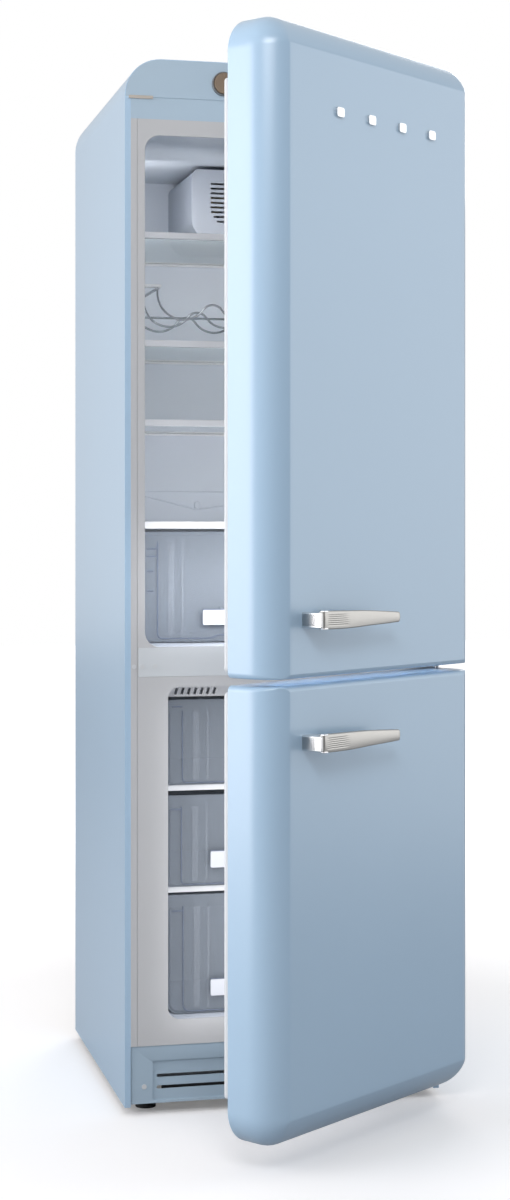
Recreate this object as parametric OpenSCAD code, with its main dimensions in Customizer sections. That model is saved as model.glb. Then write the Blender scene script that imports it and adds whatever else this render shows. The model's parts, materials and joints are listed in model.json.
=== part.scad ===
// Two-door upright refrigerator with a loaf-shaped cabinet and pillow doors.
// X runs across the width, -Y is the front, Z is up from the floor.
// The origin is on the floor below the middle of the cabinet's footprint.
// The doors are drawn standing ajar, which is where their joints read zero.

/* [Cabinet] */
// Outside width of the cabinet
body_w = 600; // [540:1:720]
// Depth of the cabinet, front frame to back panel, without the doors
body_d = 590; // [540:1:700]
// Height of the cabinet above the floor
body_h = 1926; // [1780:1:2300]
// Radius of the two rounded top edges
arch_r = 68; // [40:1:90]
// Height of the cabinet's lower edge above the floor
skirt_z = 16; // [12:1:24]
// Thickness of the outer wrap sheet
sheet_t = 1.5; // [1:0.1:2]
// Width of the front return flange of the wrap
flange_w = 11; // [8:0.5:16]
// Thickness of the plates of the front frame
frame_t = 3; // [2:0.5:4]

/* [Compartments] */
// Width of the wall between the cabinet side and the fresh-food opening
fridge_margin = 37; // [32:1:48]
// Width of the wall between the cabinet side and the freezer opening
freezer_margin = 80; // [60:1:90]
// Height of the freezer opening's lower edge
freezer_z0 = 172; // [165:1:190]
// Height of the freezer opening
freezer_h = 608; // [580:1:730]
// Height of the rail between the two compartments
rail_h = 73; // [64:1:84]
// Distance from the top of the cabinet down to the fresh-food opening
head_h = 139; // [125:1:150]
// Depth of the fresh-food compartment
fridge_depth = 520; // [430:1:530]
// Depth of the freezer above the compressor step
freezer_depth = 440; // [370:1:450]
// Depth of the freezer below the compressor step
step_depth = 300; // [250:1:310]
// Height of the compressor step above the floor
step_z = 318; // [300:1:330]
// Thickness of the plastic liners
liner_t = 3; // [2:0.5:4]
// Corner radius of the fresh-food liner
fridge_r = 28; // [16:1:36]
// Corner radius of the freezer liner
freezer_r = 22; // [12:1:30]

/* [Doors] */
// Thickness of a door at its flat front panel
door_t = 96; // [84:1:115]
// Gap between the door and the cabinet, filled by the gasket
door_gap = 14; // [12:0.5:18]
// Height of the lowest edge of the freezer door
door_z0 = 45; // [38:1:55]
// Gap between the two doors
split_gap = 12; // [11:0.5:14]
// Height above the rail's lower edge of the gap between the doors
split_rise = 23; // [21:1:26]
// Distance from the top of the cabinet down to the top of the fresh-food door
door_drop = 5; // [2:0.5:12]
// Inset of the flat front panel from the door's vertical sides
crease_side = 44; // [36:1:52]
// Inset of the flat front panel from the door's outer end
crease_end = 52; // [40:1:60]
// Radius of the door's outer corners
door_r = 62; // [44:1:72]
// Radius of the door's edge at the gap between the doors
split_r = 10; // [6:0.5:12]
// Angle at which both doors stand at rest
door_ajar = 36.6; // [0:0.1:60]
// Distance of the hinge axis from the cabinet's side
hinge_inset = 14; // [12:0.5:18]
// Distance of the hinge axis in front of the cabinet
hinge_front = 28; // [26:0.5:34]
// Radius of the hinge pins
pin_r = 4; // [3:0.5:5]
// Running clearance round a hinge pin
pin_clear = 0.05; // [0.03:0.01:0.1]
// Thickness of the hinge plates
hinge_t = 3; // [2.5:0.5:4]

/* [Handles] */
// Length of a handle's lever
lever_l = 222; // [185:1:270]
// Height of the lever at its broad end
lever_h = 32; // [26:1:38]
// Height of the lever at its thin end
lever_tip_h = 16; // [12:1:20]
// Distance of the lever's front face from the door panel
lever_out = 42; // [36:1:52]
// Thickness of the lever
lever_t = 11; // [8:0.5:14]
// Height of a handle's mounting block
block_h = 26; // [20:1:30]
// Width of a handle's mounting block
block_w = 34; // [28:1:42]
// Distance of a handle's block from the door's free side
handle_inset = 76; // [66:1:92]
// Distance from the gap between the doors up to the upper handle's middle
handle_rise = 97; // [80:1:120]
// Distance from the gap between the doors down to the lower handle's middle
handle_fall = 94; // [80:1:120]

/* [Shelves and drawers] */
// Depth of the glass shelves
shelf_d = 410; // [340:1:412]
// Setback of the shelves behind the front of the cabinet
shelf_y0 = 105; // [98:1:108]
// Thickness of the glass shelves
glass_t = 4; // [3:0.5:6]
// Heights of the three glass shelves above the fresh-food floor
shelf_zs = [413, 562, 765];
// Height of the crisper cover above the fresh-food floor
cover_z = 222; // [200:1:240]
// Side clearance of shelves and drawers in their compartment
side_clear = 5; // [3:0.5:8]
// Wall thickness of the crisper and the freezer drawers
tub_t = 3; // [2:0.5:4]
// Height of the crisper drawer
crisper_h = 208; // [180:1:210]
// Depth of the crisper drawer
crisper_d = 375; // [300:1:380]
// Setback of the freezer drawers behind the front of the cabinet
drawer_y0 = 35; // [30:1:40]
// Depth of the upper and middle freezer drawers
drawer_d = 385; // [320:1:392]
// Depth of the lower freezer drawer, in front of the compressor step
low_drawer_d = 255; // [210:1:258]
// Heights of the freezer drawers' lower edges above the freezer floor
drawer_zs = [2, 236, 424];
// Heights of the freezer drawers
drawer_hs = [218, 168, 157];

/* [Running gear] */
// Radius of the rear rollers
roller_r = 18; // [15:0.5:20]
// Width of the rear rollers
roller_w = 14; // [10:0.5:18]
// Radius of the rollers' axle pins
axle_r = 3; // [2.5:0.25:4]
// Running clearance of rollers and knobs on their pins
run_clear = 0.06; // [0.04:0.01:0.1]
// Radius of the levelling feet
foot_r = 19; // [15:0.5:24]
// Height of the levelling feet's discs
foot_h = 9; // [7:0.5:11]
// Radius of the levelling feet's stems
stem_r = 5; // [4:0.5:6]
// Radius of the compressor's casing
comp_r = 72; // [60:1:78]
// Radius of the circulation fan's rotor
fan_r = 52; // [42:1:60]
// Radius of the thermostat dial
dial_r = 19; // [15:0.5:22]

/* [Hidden] */
$fn = 48;

// Small overlap that makes cutting tools pass right through
eps = 1;

// Left side, front and back planes of the cabinet
xl = -body_w / 2;
xr = body_w / 2;
yf = -body_d / 2;
yb = body_d / 2;

// Heights of the compartments
freezer_z1 = freezer_z0 + freezer_h;
rail_z0 = freezer_z1 + 19;
fridge_z0 = rail_z0 + rail_h - 19;
fridge_z1 = body_h - head_h;
band_z0 = fridge_z1 + 29;
fascia_z0 = band_z0 + 40;
frame_z0 = freezer_z0 - 46;

// Half widths of the compartments
fridge_x = body_w / 2 - fridge_margin;
freezer_x = body_w / 2 - freezer_margin;

// Door heights and planes
split_z = rail_z0 + split_rise;
door_top = body_h - door_drop;
door_y0 = yf - door_gap;
door_y1 = door_y0 - door_t;

// Hinge axis
pivot_x = xr - hinge_inset;
pivot_y = yf - hinge_front;

// Foam behind the front plates
foam_y0 = yf + frame_t;
foam_y1 = yb - 2;

// Compressor compartment behind the freezer's step
comp_y0 = yf + step_depth + liner_t + 42;
comp_z1 = step_z - liner_t - 20;
comp_x = body_w / 2 - 45;
comp_yc = (comp_y0 + yb) / 2;
comp_xc = 60;
tray_z = 30;
tray_t = 3;
rail_w = 28;
base_z1 = frame_z0 - 20;

// Running gear centres
foot_x = body_w / 2 - 50;
foot_y = yf + 62;
roller_x = body_w / 2 - rail_w - sheet_t - 4 - roller_w / 2;
roller_y = yb - 50;

// Colours
c_body = [0.72, 0.80, 0.88];
c_edge = [0.66, 0.73, 0.79];
c_frame = [0.70, 0.71, 0.72];
c_liner = [0.66, 0.69, 0.72];
c_white = [0.92, 0.93, 0.94];
c_foam = [0.93, 0.89, 0.72];
c_chrome = [0.80, 0.80, 0.81];
c_dark = [0.15, 0.15, 0.17];
c_steel = [0.55, 0.57, 0.60];
c_glass = [0.72, 0.82, 0.84, 0.6];
c_clear = [0.66, 0.74, 0.80, 0.6];
c_rubber = [0.10, 0.10, 0.11];

// Outline with rounded upper and lower corners
module outline(x0, z0, x1, z1, rt, rb) {
    translate([x0, z0 + rb]) square([x1 - x0, z1 - z0 - rt - rb]);
    if (rt > 0) {
        translate([x0 + rt, z1 - rt - eps / 2]) square([x1 - x0 - 2 * rt, rt + eps / 2]);
        for (x = [x0 + rt, x1 - rt]) translate([x, z1 - rt]) circle(r = rt);
    }
    if (rb > 0) {
        translate([x0 + rb, z0]) square([x1 - x0 - 2 * rb, rb + eps / 2]);
        for (x = [x0 + rb, x1 - rb]) translate([x, z0 + rb]) circle(r = rb);
    }
}

// Upright slab of that outline between two depths
module slab(x0, z0, x1, z1, y0, y1, rt = 0, rb = 0) {
    translate([0, y1, 0]) rotate([90, 0, 0]) linear_extrude(height = y1 - y0)
        outline(x0, z0, x1, z1, rt, rb);
}

// Box between two corners
module box(a, b) {
    translate(a) cube(b - a);
}

// Cylinder along Y between two depths
module rod_y(x, z, y0, y1, r) {
    translate([x, y1, z]) rotate([90, 0, 0]) cylinder(r = r, h = y1 - y0);
}

// Cylinder along X between two sides
module rod_x(y, z, x0, x1, r) {
    translate([x0, y, z]) rotate([0, 90, 0]) cylinder(r = r, h = x1 - x0);
}

// Places a piece, drawn on the closed door, on the door as it stands ajar
module on_door() {
    translate([pivot_x, pivot_y, 0]) rotate([0, 0, door_ajar])
        translate([-pivot_x, -pivot_y, 0]) children();
}

// ---------- Cabinet ----------

module cabinet_shell() {
    t = sheet_t;
    color(c_body) difference() {
        slab(xl, skirt_z, xr, body_h, yf, yb, arch_r, 0);
        slab(xl + t, skirt_z - eps, xr - t, body_h - t, yf + 2, yb + eps, arch_r - t, 0);
        slab(xl + flange_w, skirt_z - eps, xr - flange_w, fascia_z0, yf - eps, yf + 2 + eps);
        arch_plate(yf - eps, yf + 2 + eps);
    }
}

// Plate that fills the arch of the wrap above the control band
module arch_plate(y0, y1) {
    t = sheet_t;
    intersection() {
        slab(xl + t, skirt_z, xr - t, body_h - t, y0, y1, arch_r - t, 0);
        box([xl, y0 - eps, fascia_z0], [xr, y1 + eps, body_h]);
    }
}

module back_panel() {
    t = sheet_t;
    color(c_steel)
        slab(xl + t, comp_z1 + 4, xr - t, body_h - t, yb - 2, yb, arch_r - t, 0);
}

module cabinet_foam() {
    t = sheet_t;
    color(c_foam) difference() {
        slab(xl + t, base_z1, xr - t, body_h - t, foam_y0, foam_y1, arch_r - t, 0);
        fridge_hollow(liner_t);
        freezer_hollow(liner_t);
        box([-comp_x, comp_y0, base_z1 - eps], [comp_x, yb + eps, comp_z1]);
        box([xl - eps, yf - eps, base_z1 - eps], [xr + eps, base_y0, plinth_z1]);
        rod_y(fan_xc, fan_zc, fridge_yb - eps, fridge_yb + 44, fan_r + 10);
    }
}

// Hollow of the fresh-food compartment, grown by g
fridge_yb = yf + fridge_depth;
module fridge_hollow(g) {
    slab(-fridge_x - g, fridge_z0 - g, fridge_x + g, fridge_z1 + g,
        yf + frame_t - (g > 0 ? eps : 0), fridge_yb + g, fridge_r + g, fridge_r + g);
}

// Hollow of the freezer with its step over the compressor, grown by g
freezer_yb = yf + freezer_depth;
step_y = yf + step_depth;
module freezer_hollow(g) {
    y0 = yf + frame_t - (g > 0 ? eps : 0);
    slab(-freezer_x - g, freezer_z0 - g, freezer_x + g, freezer_z1 + g,
        y0, step_y + g, freezer_r + g, freezer_r + g);
    slab(-freezer_x - g, step_z - g, freezer_x + g, freezer_z1 + g,
        y0, freezer_yb + g, freezer_r + g, 0);
}

module fridge_liner() {
    color(c_liner) difference() {
        intersection() {
            fridge_hollow(liner_t);
            box([xl, yf + frame_t, 0], [xr, yb, body_h]);
        }
        translate([0, -eps, 0]) slab(-fridge_x, fridge_z0, fridge_x, fridge_z1,
            yf, fridge_yb + eps, fridge_r, fridge_r);
        rod_y(fan_xc, fan_zc, fridge_yb - eps, fridge_yb + liner_t + eps, fan_r + 10);
        rod_y(0, fridge_z0 + 30, fridge_yb - eps, fridge_yb + liner_t + eps, 5);
    }
}

module freezer_liner() {
    color(c_liner) difference() {
        intersection() {
            freezer_hollow(liner_t);
            box([xl, yf + frame_t, 0], [xr, yb, body_h]);
        }
        slab(-freezer_x, freezer_z0, freezer_x, freezer_z1,
            yf - eps, step_y, freezer_r, freezer_r);
        slab(-freezer_x, step_z, freezer_x, freezer_z1,
            yf - eps, freezer_yb, freezer_r, 0);
    }
}

module front_frame() {
    x0 = xl + flange_w;
    groove = 12;
    color(c_frame) difference() {
        slab(x0, frame_z0, -x0, band_z0, yf, yf + frame_t);
        slab(-fridge_x, fridge_z0, fridge_x, fridge_z1,
            yf - eps, yf + frame_t + eps, fridge_r, fridge_r);
        slab(-freezer_x, freezer_z0, freezer_x, freezer_z1,
            yf - eps, yf + frame_t + eps, freezer_r, freezer_r);
        slab(-rail_x - 0.2, rail_z0 - 0.2, rail_x + 0.2, fridge_z0 - 0.8,
            yf - eps, yf + rail_t, 1.5, 1.5);
        for (s = [-1, 1])
            box([s * (-x0 - groove) - 0.6, yf - eps, frame_z0 - eps],
                [s * (-x0 - groove) + 0.6, yf + 1, band_z0 + eps]);
    }
}

// Plate over the rail between the compartments, let into the front frame
rail_x = body_w / 2 - flange_w - 14;
rail_t = 1.5;
rail_proud = 0.2;
module mid_rail() {
    color(c_frame)
        slab(-rail_x, rail_z0, rail_x, fridge_z0 - 1, yf - rail_proud, yf + rail_t, 1.5, 1.5);
}

plug_z = rail_z0 + 19;
module screw_plugs() {
    color(c_white) {
        rod_y(-rail_x - 8, plug_z, yf - 1.2, yf, 4);
        for (x = [7, 31])
            rod_y(-rail_x + x, plug_z, yf - rail_proud - 1.5, yf - rail_proud, 4.5);
        rod_y(-plinth_screw_x, plinth_screw_z, plinth_y - 1.5, plinth_y, 4.5);
        rod_y(plinth_screw_x, plinth_screw_z, plinth_y - 1.5, plinth_y, 4.5);
    }
}

module top_fascia() {
    t = sheet_t;
    color(c_body) difference() {
        arch_plate(yf, yf + frame_t);
        rod_y(dial_x, dial_z, yf - eps, yf + frame_t + eps, dial_hub_r + 1);
        box([xl + t - eps, yf + 2 - eps, fascia_z0 - eps], [xl + t, yf + frame_t + eps, body_h]);
    }
}

module control_band() {
    x0 = xl + flange_w;
    color(c_body) difference() {
        slab(x0, band_z0, -x0, fascia_z0, yf, yf + frame_t);
        box([x0 - eps, yf - eps, fascia_z0 - 1.2], [-x0 + eps, yf + 1, fascia_z0 + eps]);
    }
}

module hinge_clip() {
    color([0.80, 0.78, 0.72])
        slab(xl + 7, fascia_z0 - 3.5, xl + 52, fascia_z0 + 2, yf - 2.5, yf, 1.5, 1.5);
}

// Kick plate with two long slots
plinth_y = yf + 2;
plinth_z1 = frame_z0;
plinth_screw_x = body_w / 2 - 36;
plinth_screw_z = 52;
module plinth() {
    x0 = xl + flange_w + 1;
    step_x = body_w / 2 - 52;
    color(c_edge) difference() {
        slab(x0, skirt_z + 5, -x0, plinth_z1, plinth_y, base_y0);
        slab(-step_x, skirt_z + 10, step_x, plinth_z1 - 28,
            plinth_y - eps, plinth_y + 3, 4, 4);
        for (z = [46, 67])
            slab(-step_x + 8, z, step_x - 8, z + 6, plinth_y, base_y0 + eps, 2.9, 2.9);
        slab(x0 + 4, skirt_z, -x0 - 4, plinth_z1 - 3, plinth_y + 5, base_y0 + eps);
        box([pivot_x - 21, plinth_y - eps, low_plate_z - 1],
            [xr, base_y0 + eps, low_plate_z + hinge_t + 1]);
    }
}

// Steel base: side channels, front bar, compressor tray and roller ears
base_y0 = yf + 22;
module base_frame() {
    x0 = xl + sheet_t;
    y0 = base_y0;
    color(c_steel) difference() {
        union() {
            for (s = [-1, 1]) {
                box([s * (-x0 - rail_w / 2) - rail_w / 2, y0, skirt_z],
                    [s * (-x0 - rail_w / 2) + rail_w / 2, yb, base_z1]);
                box([s * (foot_x + 4) - 18, foot_y - 16, 24],
                    [s * (foot_x + 4) + 18, foot_y + 16, base_z1]);
            }
            box([x0 + rail_w - eps, y0, 60], [-x0 - rail_w + eps, y0 + 25, base_z1]);
            box([x0 + rail_w - eps, comp_y0, tray_z], [-x0 - rail_w + eps, yb, tray_z + tray_t]);
            box([x0 + rail_w - eps, comp_y0 - 8, tray_z], [-x0 - rail_w + eps, comp_y0, base_z1]);
            for (s = [-1, 1]) roller_ears(s);
        }
        for (s = [-1, 1]) {
            box([s * roller_x - roller_w / 2 - 1.5, roller_y - roller_r - 3, tray_z - eps],
                [s * roller_x + roller_w / 2 + 1.5, roller_y + roller_r + 3, tray_z + tray_t + eps]);
            translate([s * foot_x, foot_y, 20]) cylinder(r = stem_r + run_clear, h = 46);
        }
        for (x = [-70, 70]) for (y = [-52, 52])
            translate([comp_xc + x, comp_yc + y, tray_z - eps])
                cylinder(r = mount_r, h = tray_t + 2 * eps);
    }
}

// Two ears and the pin that carry one roller
module roller_ears(s) {
    w = roller_w / 2;
    for (k = [-1, 1])
        box([s * roller_x + k * (w + 3.5) - 2, roller_y - 9, roller_r - 7],
            [s * roller_x + k * (w + 3.5) + 2, roller_y + 9, tray_z + eps]);
    rod_x(roller_y, roller_r, s * roller_x - w - 4, s * roller_x + w + 4, axle_r);
}

module roller(s) {
    color(c_rubber) difference() {
        rod_x(roller_y, roller_r, s * roller_x - roller_w / 2, s * roller_x + roller_w / 2, roller_r);
        rod_x(roller_y, roller_r, s * roller_x - roller_w, s * roller_x + roller_w,
            axle_r + run_clear);
    }
}
module roller_left() { roller(-1); }
module roller_right() { roller(1); }

module foot(s) {
    color(c_rubber) translate([s * foot_x, foot_y, 0]) {
        cylinder(r = foot_r, h = foot_h);
        translate([0, 0, foot_h - eps / 2]) cylinder(r = 9, h = 8, $fn = 6);
        cylinder(r = stem_r, h = 62);
    }
}
module foot_left() { foot(-1); }
module foot_right() { foot(1); }

// Hermetic compressor: two deep-drawn halves, a seam, feet and pipe stubs
mount_r = 6;
mount_h = 12;
comp_z0 = tray_z + tray_t + mount_h;
module compressor() {
    r = comp_r;
    color(c_dark) translate([comp_xc, comp_yc, comp_z0]) {
        rotate_extrude() polygon([[0, 3], [r - 22, 3], [r - 8, 12], [r - 2, 28], [r, 60], [r + 4, 60],
            [r + 4, 66], [r, 66], [r - 2, 110], [r - 10, 134], [r - 26, 146], [0, 150]]);
        for (x = [-1, 1])
            box([x * 60 - 22, -62, 0], [x * 60 + 22, 62, 3.5]);
        translate([30, 10, 140]) cylinder(r = 5, h = 30);
        translate([-30, -10, 140]) cylinder(r = 4, h = 38);
    }
}

module compressor_mounts() {
    color(c_rubber) for (x = [-70, 70]) for (y = [-52, 52])
        translate([comp_xc + x, comp_yc + y, 0]) {
            translate([0, 0, tray_z - 3]) cylinder(r = mount_r - 0.2, h = tray_t + 4);
            translate([0, 0, tray_z + tray_t]) cylinder(r = mount_r + 3, h = mount_h);
        }
}

// Serpentine condenser on the back, held off the panel by spacer strips
coil_n = 12;
coil_r = 3;
coil_y = yb + 14;
coil_x = body_w / 2 - 80;
coil_z0 = step_z + 90;
coil_p = (body_h - 150 - coil_z0) / coil_n;
module condenser() {
    color(c_dark) {
        for (i = [0 : coil_n - 1])
            rod_x(coil_y, coil_z0 + i * coil_p, -coil_x, coil_x, coil_r);
        for (i = [0 : coil_n - 2])
            translate([i % 2 == 0 ? coil_x : -coil_x, coil_y, coil_z0 + (i + 0.5) * coil_p])
                rotate([90, i % 2 == 0 ? 0 : 180, 0]) rotate([0, 0, -90])
                rotate_extrude(angle = 180) translate([coil_p / 2, 0]) circle(r = coil_r);
        for (x = [-0.8, 0, 0.8])
            box([x * coil_x - 6, yb, coil_z0 - 20],
                [x * coil_x + 6, coil_y - 1, coil_z0 + (coil_n - 1) * coil_p + 20]);
    }
}

module power_inlet() {
    x0 = xl + 60;
    z0 = comp_z1 + 30;
    color(c_dark) difference() {
        box([x0, yb, z0], [x0 + 50, yb + 18, z0 + 32]);
        box([x0 + 5, yb + 4, z0 + 5], [x0 + 45, yb + 19, z0 + 27]);
    }
    color(c_steel) for (x = [15, 25, 35])
        box([x0 + x - 1, yb + 4, z0 + 12], [x0 + x + 1, yb + 15, z0 + 20]);
}

// ---------- Hinges ----------

// How far a door's rounded corner falls away at the hinge axis
corner_dip = door_r - sqrt(door_r * door_r - pow(door_r - hinge_inset, 2));
top_plate_z = door_top - corner_dip + 2;
low_plate_z = door_z0 + corner_dip - 2 - hinge_t;
pin_len = 18;
end_pin_len = 30;
gap_mid = split_z - split_gap / 2;
mid_plate_z = gap_mid - hinge_t / 2;
knuckle_r = 8;

// Arm from the cabinet front out to the hinge axis, with its round knuckle
module hinge_arm(z, y1) {
    box([pivot_x - knuckle_r, pivot_y, z], [pivot_x + knuckle_r, y1, z + hinge_t]);
    translate([pivot_x, pivot_y, z]) cylinder(r = knuckle_r, h = hinge_t);
}

module top_hinge() {
    z = top_plate_z;
    color(c_steel) {
        hinge_arm(z, yf);
        box([pivot_x - 60, yf - 3, z - 38], [pivot_x - 20, yf, z + hinge_t]);
        box([pivot_x - 21, yf - 3, z - 12], [pivot_x + knuckle_r, yf, z + hinge_t]);
        translate([pivot_x, pivot_y, z - end_pin_len]) cylinder(r = pin_r, h = end_pin_len + 1);
    }
}

module middle_hinge() {
    z = mid_plate_z;
    y1 = yf - rail_proud;
    color(c_steel) {
        hinge_arm(z, y1);
        box([pivot_x - 34, pivot_y, z], [pivot_x, y1, z + hinge_t]);
        box([pivot_x - 60, yf - 4, z - 6], [pivot_x - 14, y1, z + hinge_t + 2]);
        translate([pivot_x, pivot_y, z - pin_len]) cylinder(r = pin_r, h = 2 * pin_len + hinge_t);
    }
}

module bottom_hinge() {
    z = low_plate_z;
    color(c_steel) {
        hinge_arm(z, yf);
        box([pivot_x - 20, yf - 4, z], [pivot_x + 2, base_y0, z + hinge_t]);
        translate([pivot_x, pivot_y, z + hinge_t - eps]) cylinder(r = pin_r, h = end_pin_len + eps);
    }
}

// Bore in a door for a hinge pin
module pin_bore(z0, z1) {
    translate([pivot_x, pivot_y, z0]) cylinder(r = pin_r + pin_clear, h = z1 - z0);
}

// Clearance in the doors' corners for the arms of the end hinges
recess_r = 21;
module end_recess(end) {
    z = end == 1 ? top_plate_z - 1.5 : door_z0 - eps;
    h = end == 1 ? door_top - z + eps : low_plate_z + hinge_t + 1.5 - z;
    translate([pivot_x, pivot_y, z]) cylinder(r = recess_r, h = h);
}

// Everything the hinges need cut from a door between two heights
module hinge_cuts(z0, z1, end) {
    end_recess(end);
    if (end == 1) {
        pin_bore(top_plate_z - end_pin_len - 2, z1 + eps);
        pin_bore(z0 - eps, z0 + pin_len + 2);
    }
    if (end == 0) {
        pin_bore(z0 - eps, low_plate_z + hinge_t + end_pin_len + 2);
        pin_bore(z1 - pin_len - 2, z1 + eps);
    }
}

// ---------- Interior ----------

// Housing of the circulation fan, from the back wall to the middle of the compartment
fan_xc = 0;
fan_zc = fridge_z1 - 78;
fan_cover_w = 115;
fan_cover_z0 = fridge_z0 + shelf_zs[2] + 22;
fan_cover_z1 = fridge_z1 - 8;
fan_cover_y0 = fridge_yb - 235;
fan_slot_z1 = fan_cover_z1 - 28;
fan_slot_pitch = 9.3;
// Cut into the lower slots, which follow the rounded corners
fan_slot_cut = [13, 6, 1, 0, 0, 0, 0, 0, 0];
module fan_cover() {
    y0 = fan_cover_y0;
    color(c_liner) difference() {
        slab(-fan_cover_w, fan_cover_z0, fan_cover_w, fan_cover_z1, y0, fridge_yb, 16, 40);
        slab(-fan_cover_w + 3, fan_cover_z0 + 3, fan_cover_w - 3, fan_cover_z1 - 3,
            y0 + 3, fridge_yb + eps, 13, 37);
        for (i = [0 : 8]) {
            w = 77 - fan_slot_cut[i];
            z = fan_slot_z1 - (8 - i) * fan_slot_pitch;
            slab(-w, z - 2, w, z + 2, y0 - eps, y0 + 4, 1.9, 1.9);
        }
    }
}

module fan_motor() {
    y1 = fridge_yb + 44;
    color(c_dark) {
        rod_y(fan_xc, fan_zc, y1 - 18, y1, 20);
        rod_y(fan_xc, fan_zc, y1 - 36, y1 - 17, 2.5);
        for (a = [0 : 120 : 240]) translate([fan_xc, y1 - 6, fan_zc]) rotate([0, a, 0])
            translate([18, 0, -3]) cube([fan_r + 10 - 18 - 0.4, 5.9, 6]);
    }
}

module fan_rotor() {
    y1 = fridge_yb + 44 - 19;
    hub = 13;
    color(c_white) difference() {
        union() {
            rod_y(fan_xc, fan_zc, y1 - 18, y1, hub);
            for (a = [0 : 72 : 288]) translate([fan_xc, y1 - 9, fan_zc]) rotate([0, a, 0])
                rotate([24, 0, 0]) translate([hub - 2, -1, -8]) cube([fan_r - hub - 2, 2, 16]);
        }
        rod_y(fan_xc, fan_zc, y1 - 17.5, y1 + eps, 2.5 + run_clear);
    }
}

module evaporator_cover() {
    y0 = freezer_yb - 14;
    color(c_liner) difference() {
        slab(-freezer_x + 1, step_z + 1, freezer_x - 1, freezer_z1 - freezer_r, y0, freezer_yb, 6, 0);
        slab(-freezer_x + 4, step_z + 4, freezer_x - 4, freezer_z1 - freezer_r - 3,
            y0 + 3, freezer_yb + eps, 3, 0);
        for (x = [-130 : 52 : 130])
            slab(x - 18, freezer_z1 - 90, x + 18, freezer_z1 - 82, y0 - eps, y0 + 4, 3.9, 3.9);
    }
}

// Air outlet strip under the freezer's ceiling, with slanted slots
vent_y0 = yf + 24;
vent_h = 20;
module vent_block(g, z, y0, y1) {
    intersection() {
        slab(-freezer_x + g, z - 60, freezer_x - g, freezer_z1 - g, y0, y1, freezer_r - g, 0);
        box([-freezer_x, y0 - eps, z], [freezer_x, y1 + eps, freezer_z1]);
    }
}
module freezer_vent() {
    z0 = freezer_z1 - vent_h;
    color(c_frame) difference() {
        vent_block(0, z0, vent_y0, vent_y0 + 30);
        vent_block(3, z0 + 3, vent_y0 + 3, vent_y0 + 31);
        for (i = [0 : 6]) for (s = [-1, 1])
            translate([s * (freezer_x - 20 - i * 12), 0, z0 + vent_h / 2])
                rotate([0, 18, 0]) box([-2.5, vent_y0 - eps, -6], [2.5, vent_y0 + 4, 6]);
    }
}

rib_h = 6;
rib_w = 14;
module shelf_supports() {
    color(c_liner) for (z = concat(shelf_zs, [cover_z])) for (s = [-1, 1])
        box([s * (fridge_x - rib_w / 2) - rib_w / 2, yf + shelf_y0 + 14, fridge_z0 + z - rib_h],
            [s * (fridge_x - rib_w / 2) + rib_w / 2, yf + shelf_y0 + shelf_d, fridge_z0 + z]);
}

shelf_x = fridge_x - side_clear;
trim_t = 12;
module shelf(i) {
    z = fridge_z0 + shelf_zs[i];
    y0 = yf + shelf_y0;
    color(c_glass)
        box([-shelf_x, y0 + trim_t / 2, z], [shelf_x, y0 + shelf_d - trim_t / 2, z + glass_t]);
}

// Front and rear edge trims that clasp the glass
module shelf_trim(i) {
    z = fridge_z0 + shelf_zs[i];
    y0 = yf + shelf_y0;
    color(c_white) difference() {
        for (y = [y0, y0 + shelf_d - trim_t])
            slab(-shelf_x, z - 4, shelf_x, z + 8, y, y + trim_t, 3, 3);
        box([-shelf_x - eps, y0 + trim_t / 2, z],
            [shelf_x + eps, y0 + shelf_d - trim_t / 2, z + glass_t]);
        for (s = [-1, 1])
            box([s * fridge_x - rib_w - 1, y0 + shelf_d - trim_t - eps, z - 5],
                [s * fridge_x + rib_w + 1, y0 + shelf_d + eps, z]);
    }
}
module shelf_lower() { shelf(0); }
module shelf_middle() { shelf(1); }
module shelf_upper() { shelf(2); }
module shelf_lower_trim() { shelf_trim(0); }
module shelf_middle_trim() { shelf_trim(1); }
module shelf_upper_trim() { shelf_trim(2); }

module crisper_cover() {
    z = fridge_z0 + cover_z;
    y0 = yf + shelf_y0;
    color(c_white) difference() {
        box([-shelf_x, y0, z], [shelf_x, y0 + shelf_d, z + 8]);
        box([-shelf_x + 22, y0 + 22, z + 4], [shelf_x - 22, y0 + shelf_d - 22, z + 9]);
    }
    color(c_white) slab(-shelf_x + rib_w, z - 6, shelf_x - rib_w, z + 0.5, y0, y0 + 8, 0, 2);
}

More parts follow.
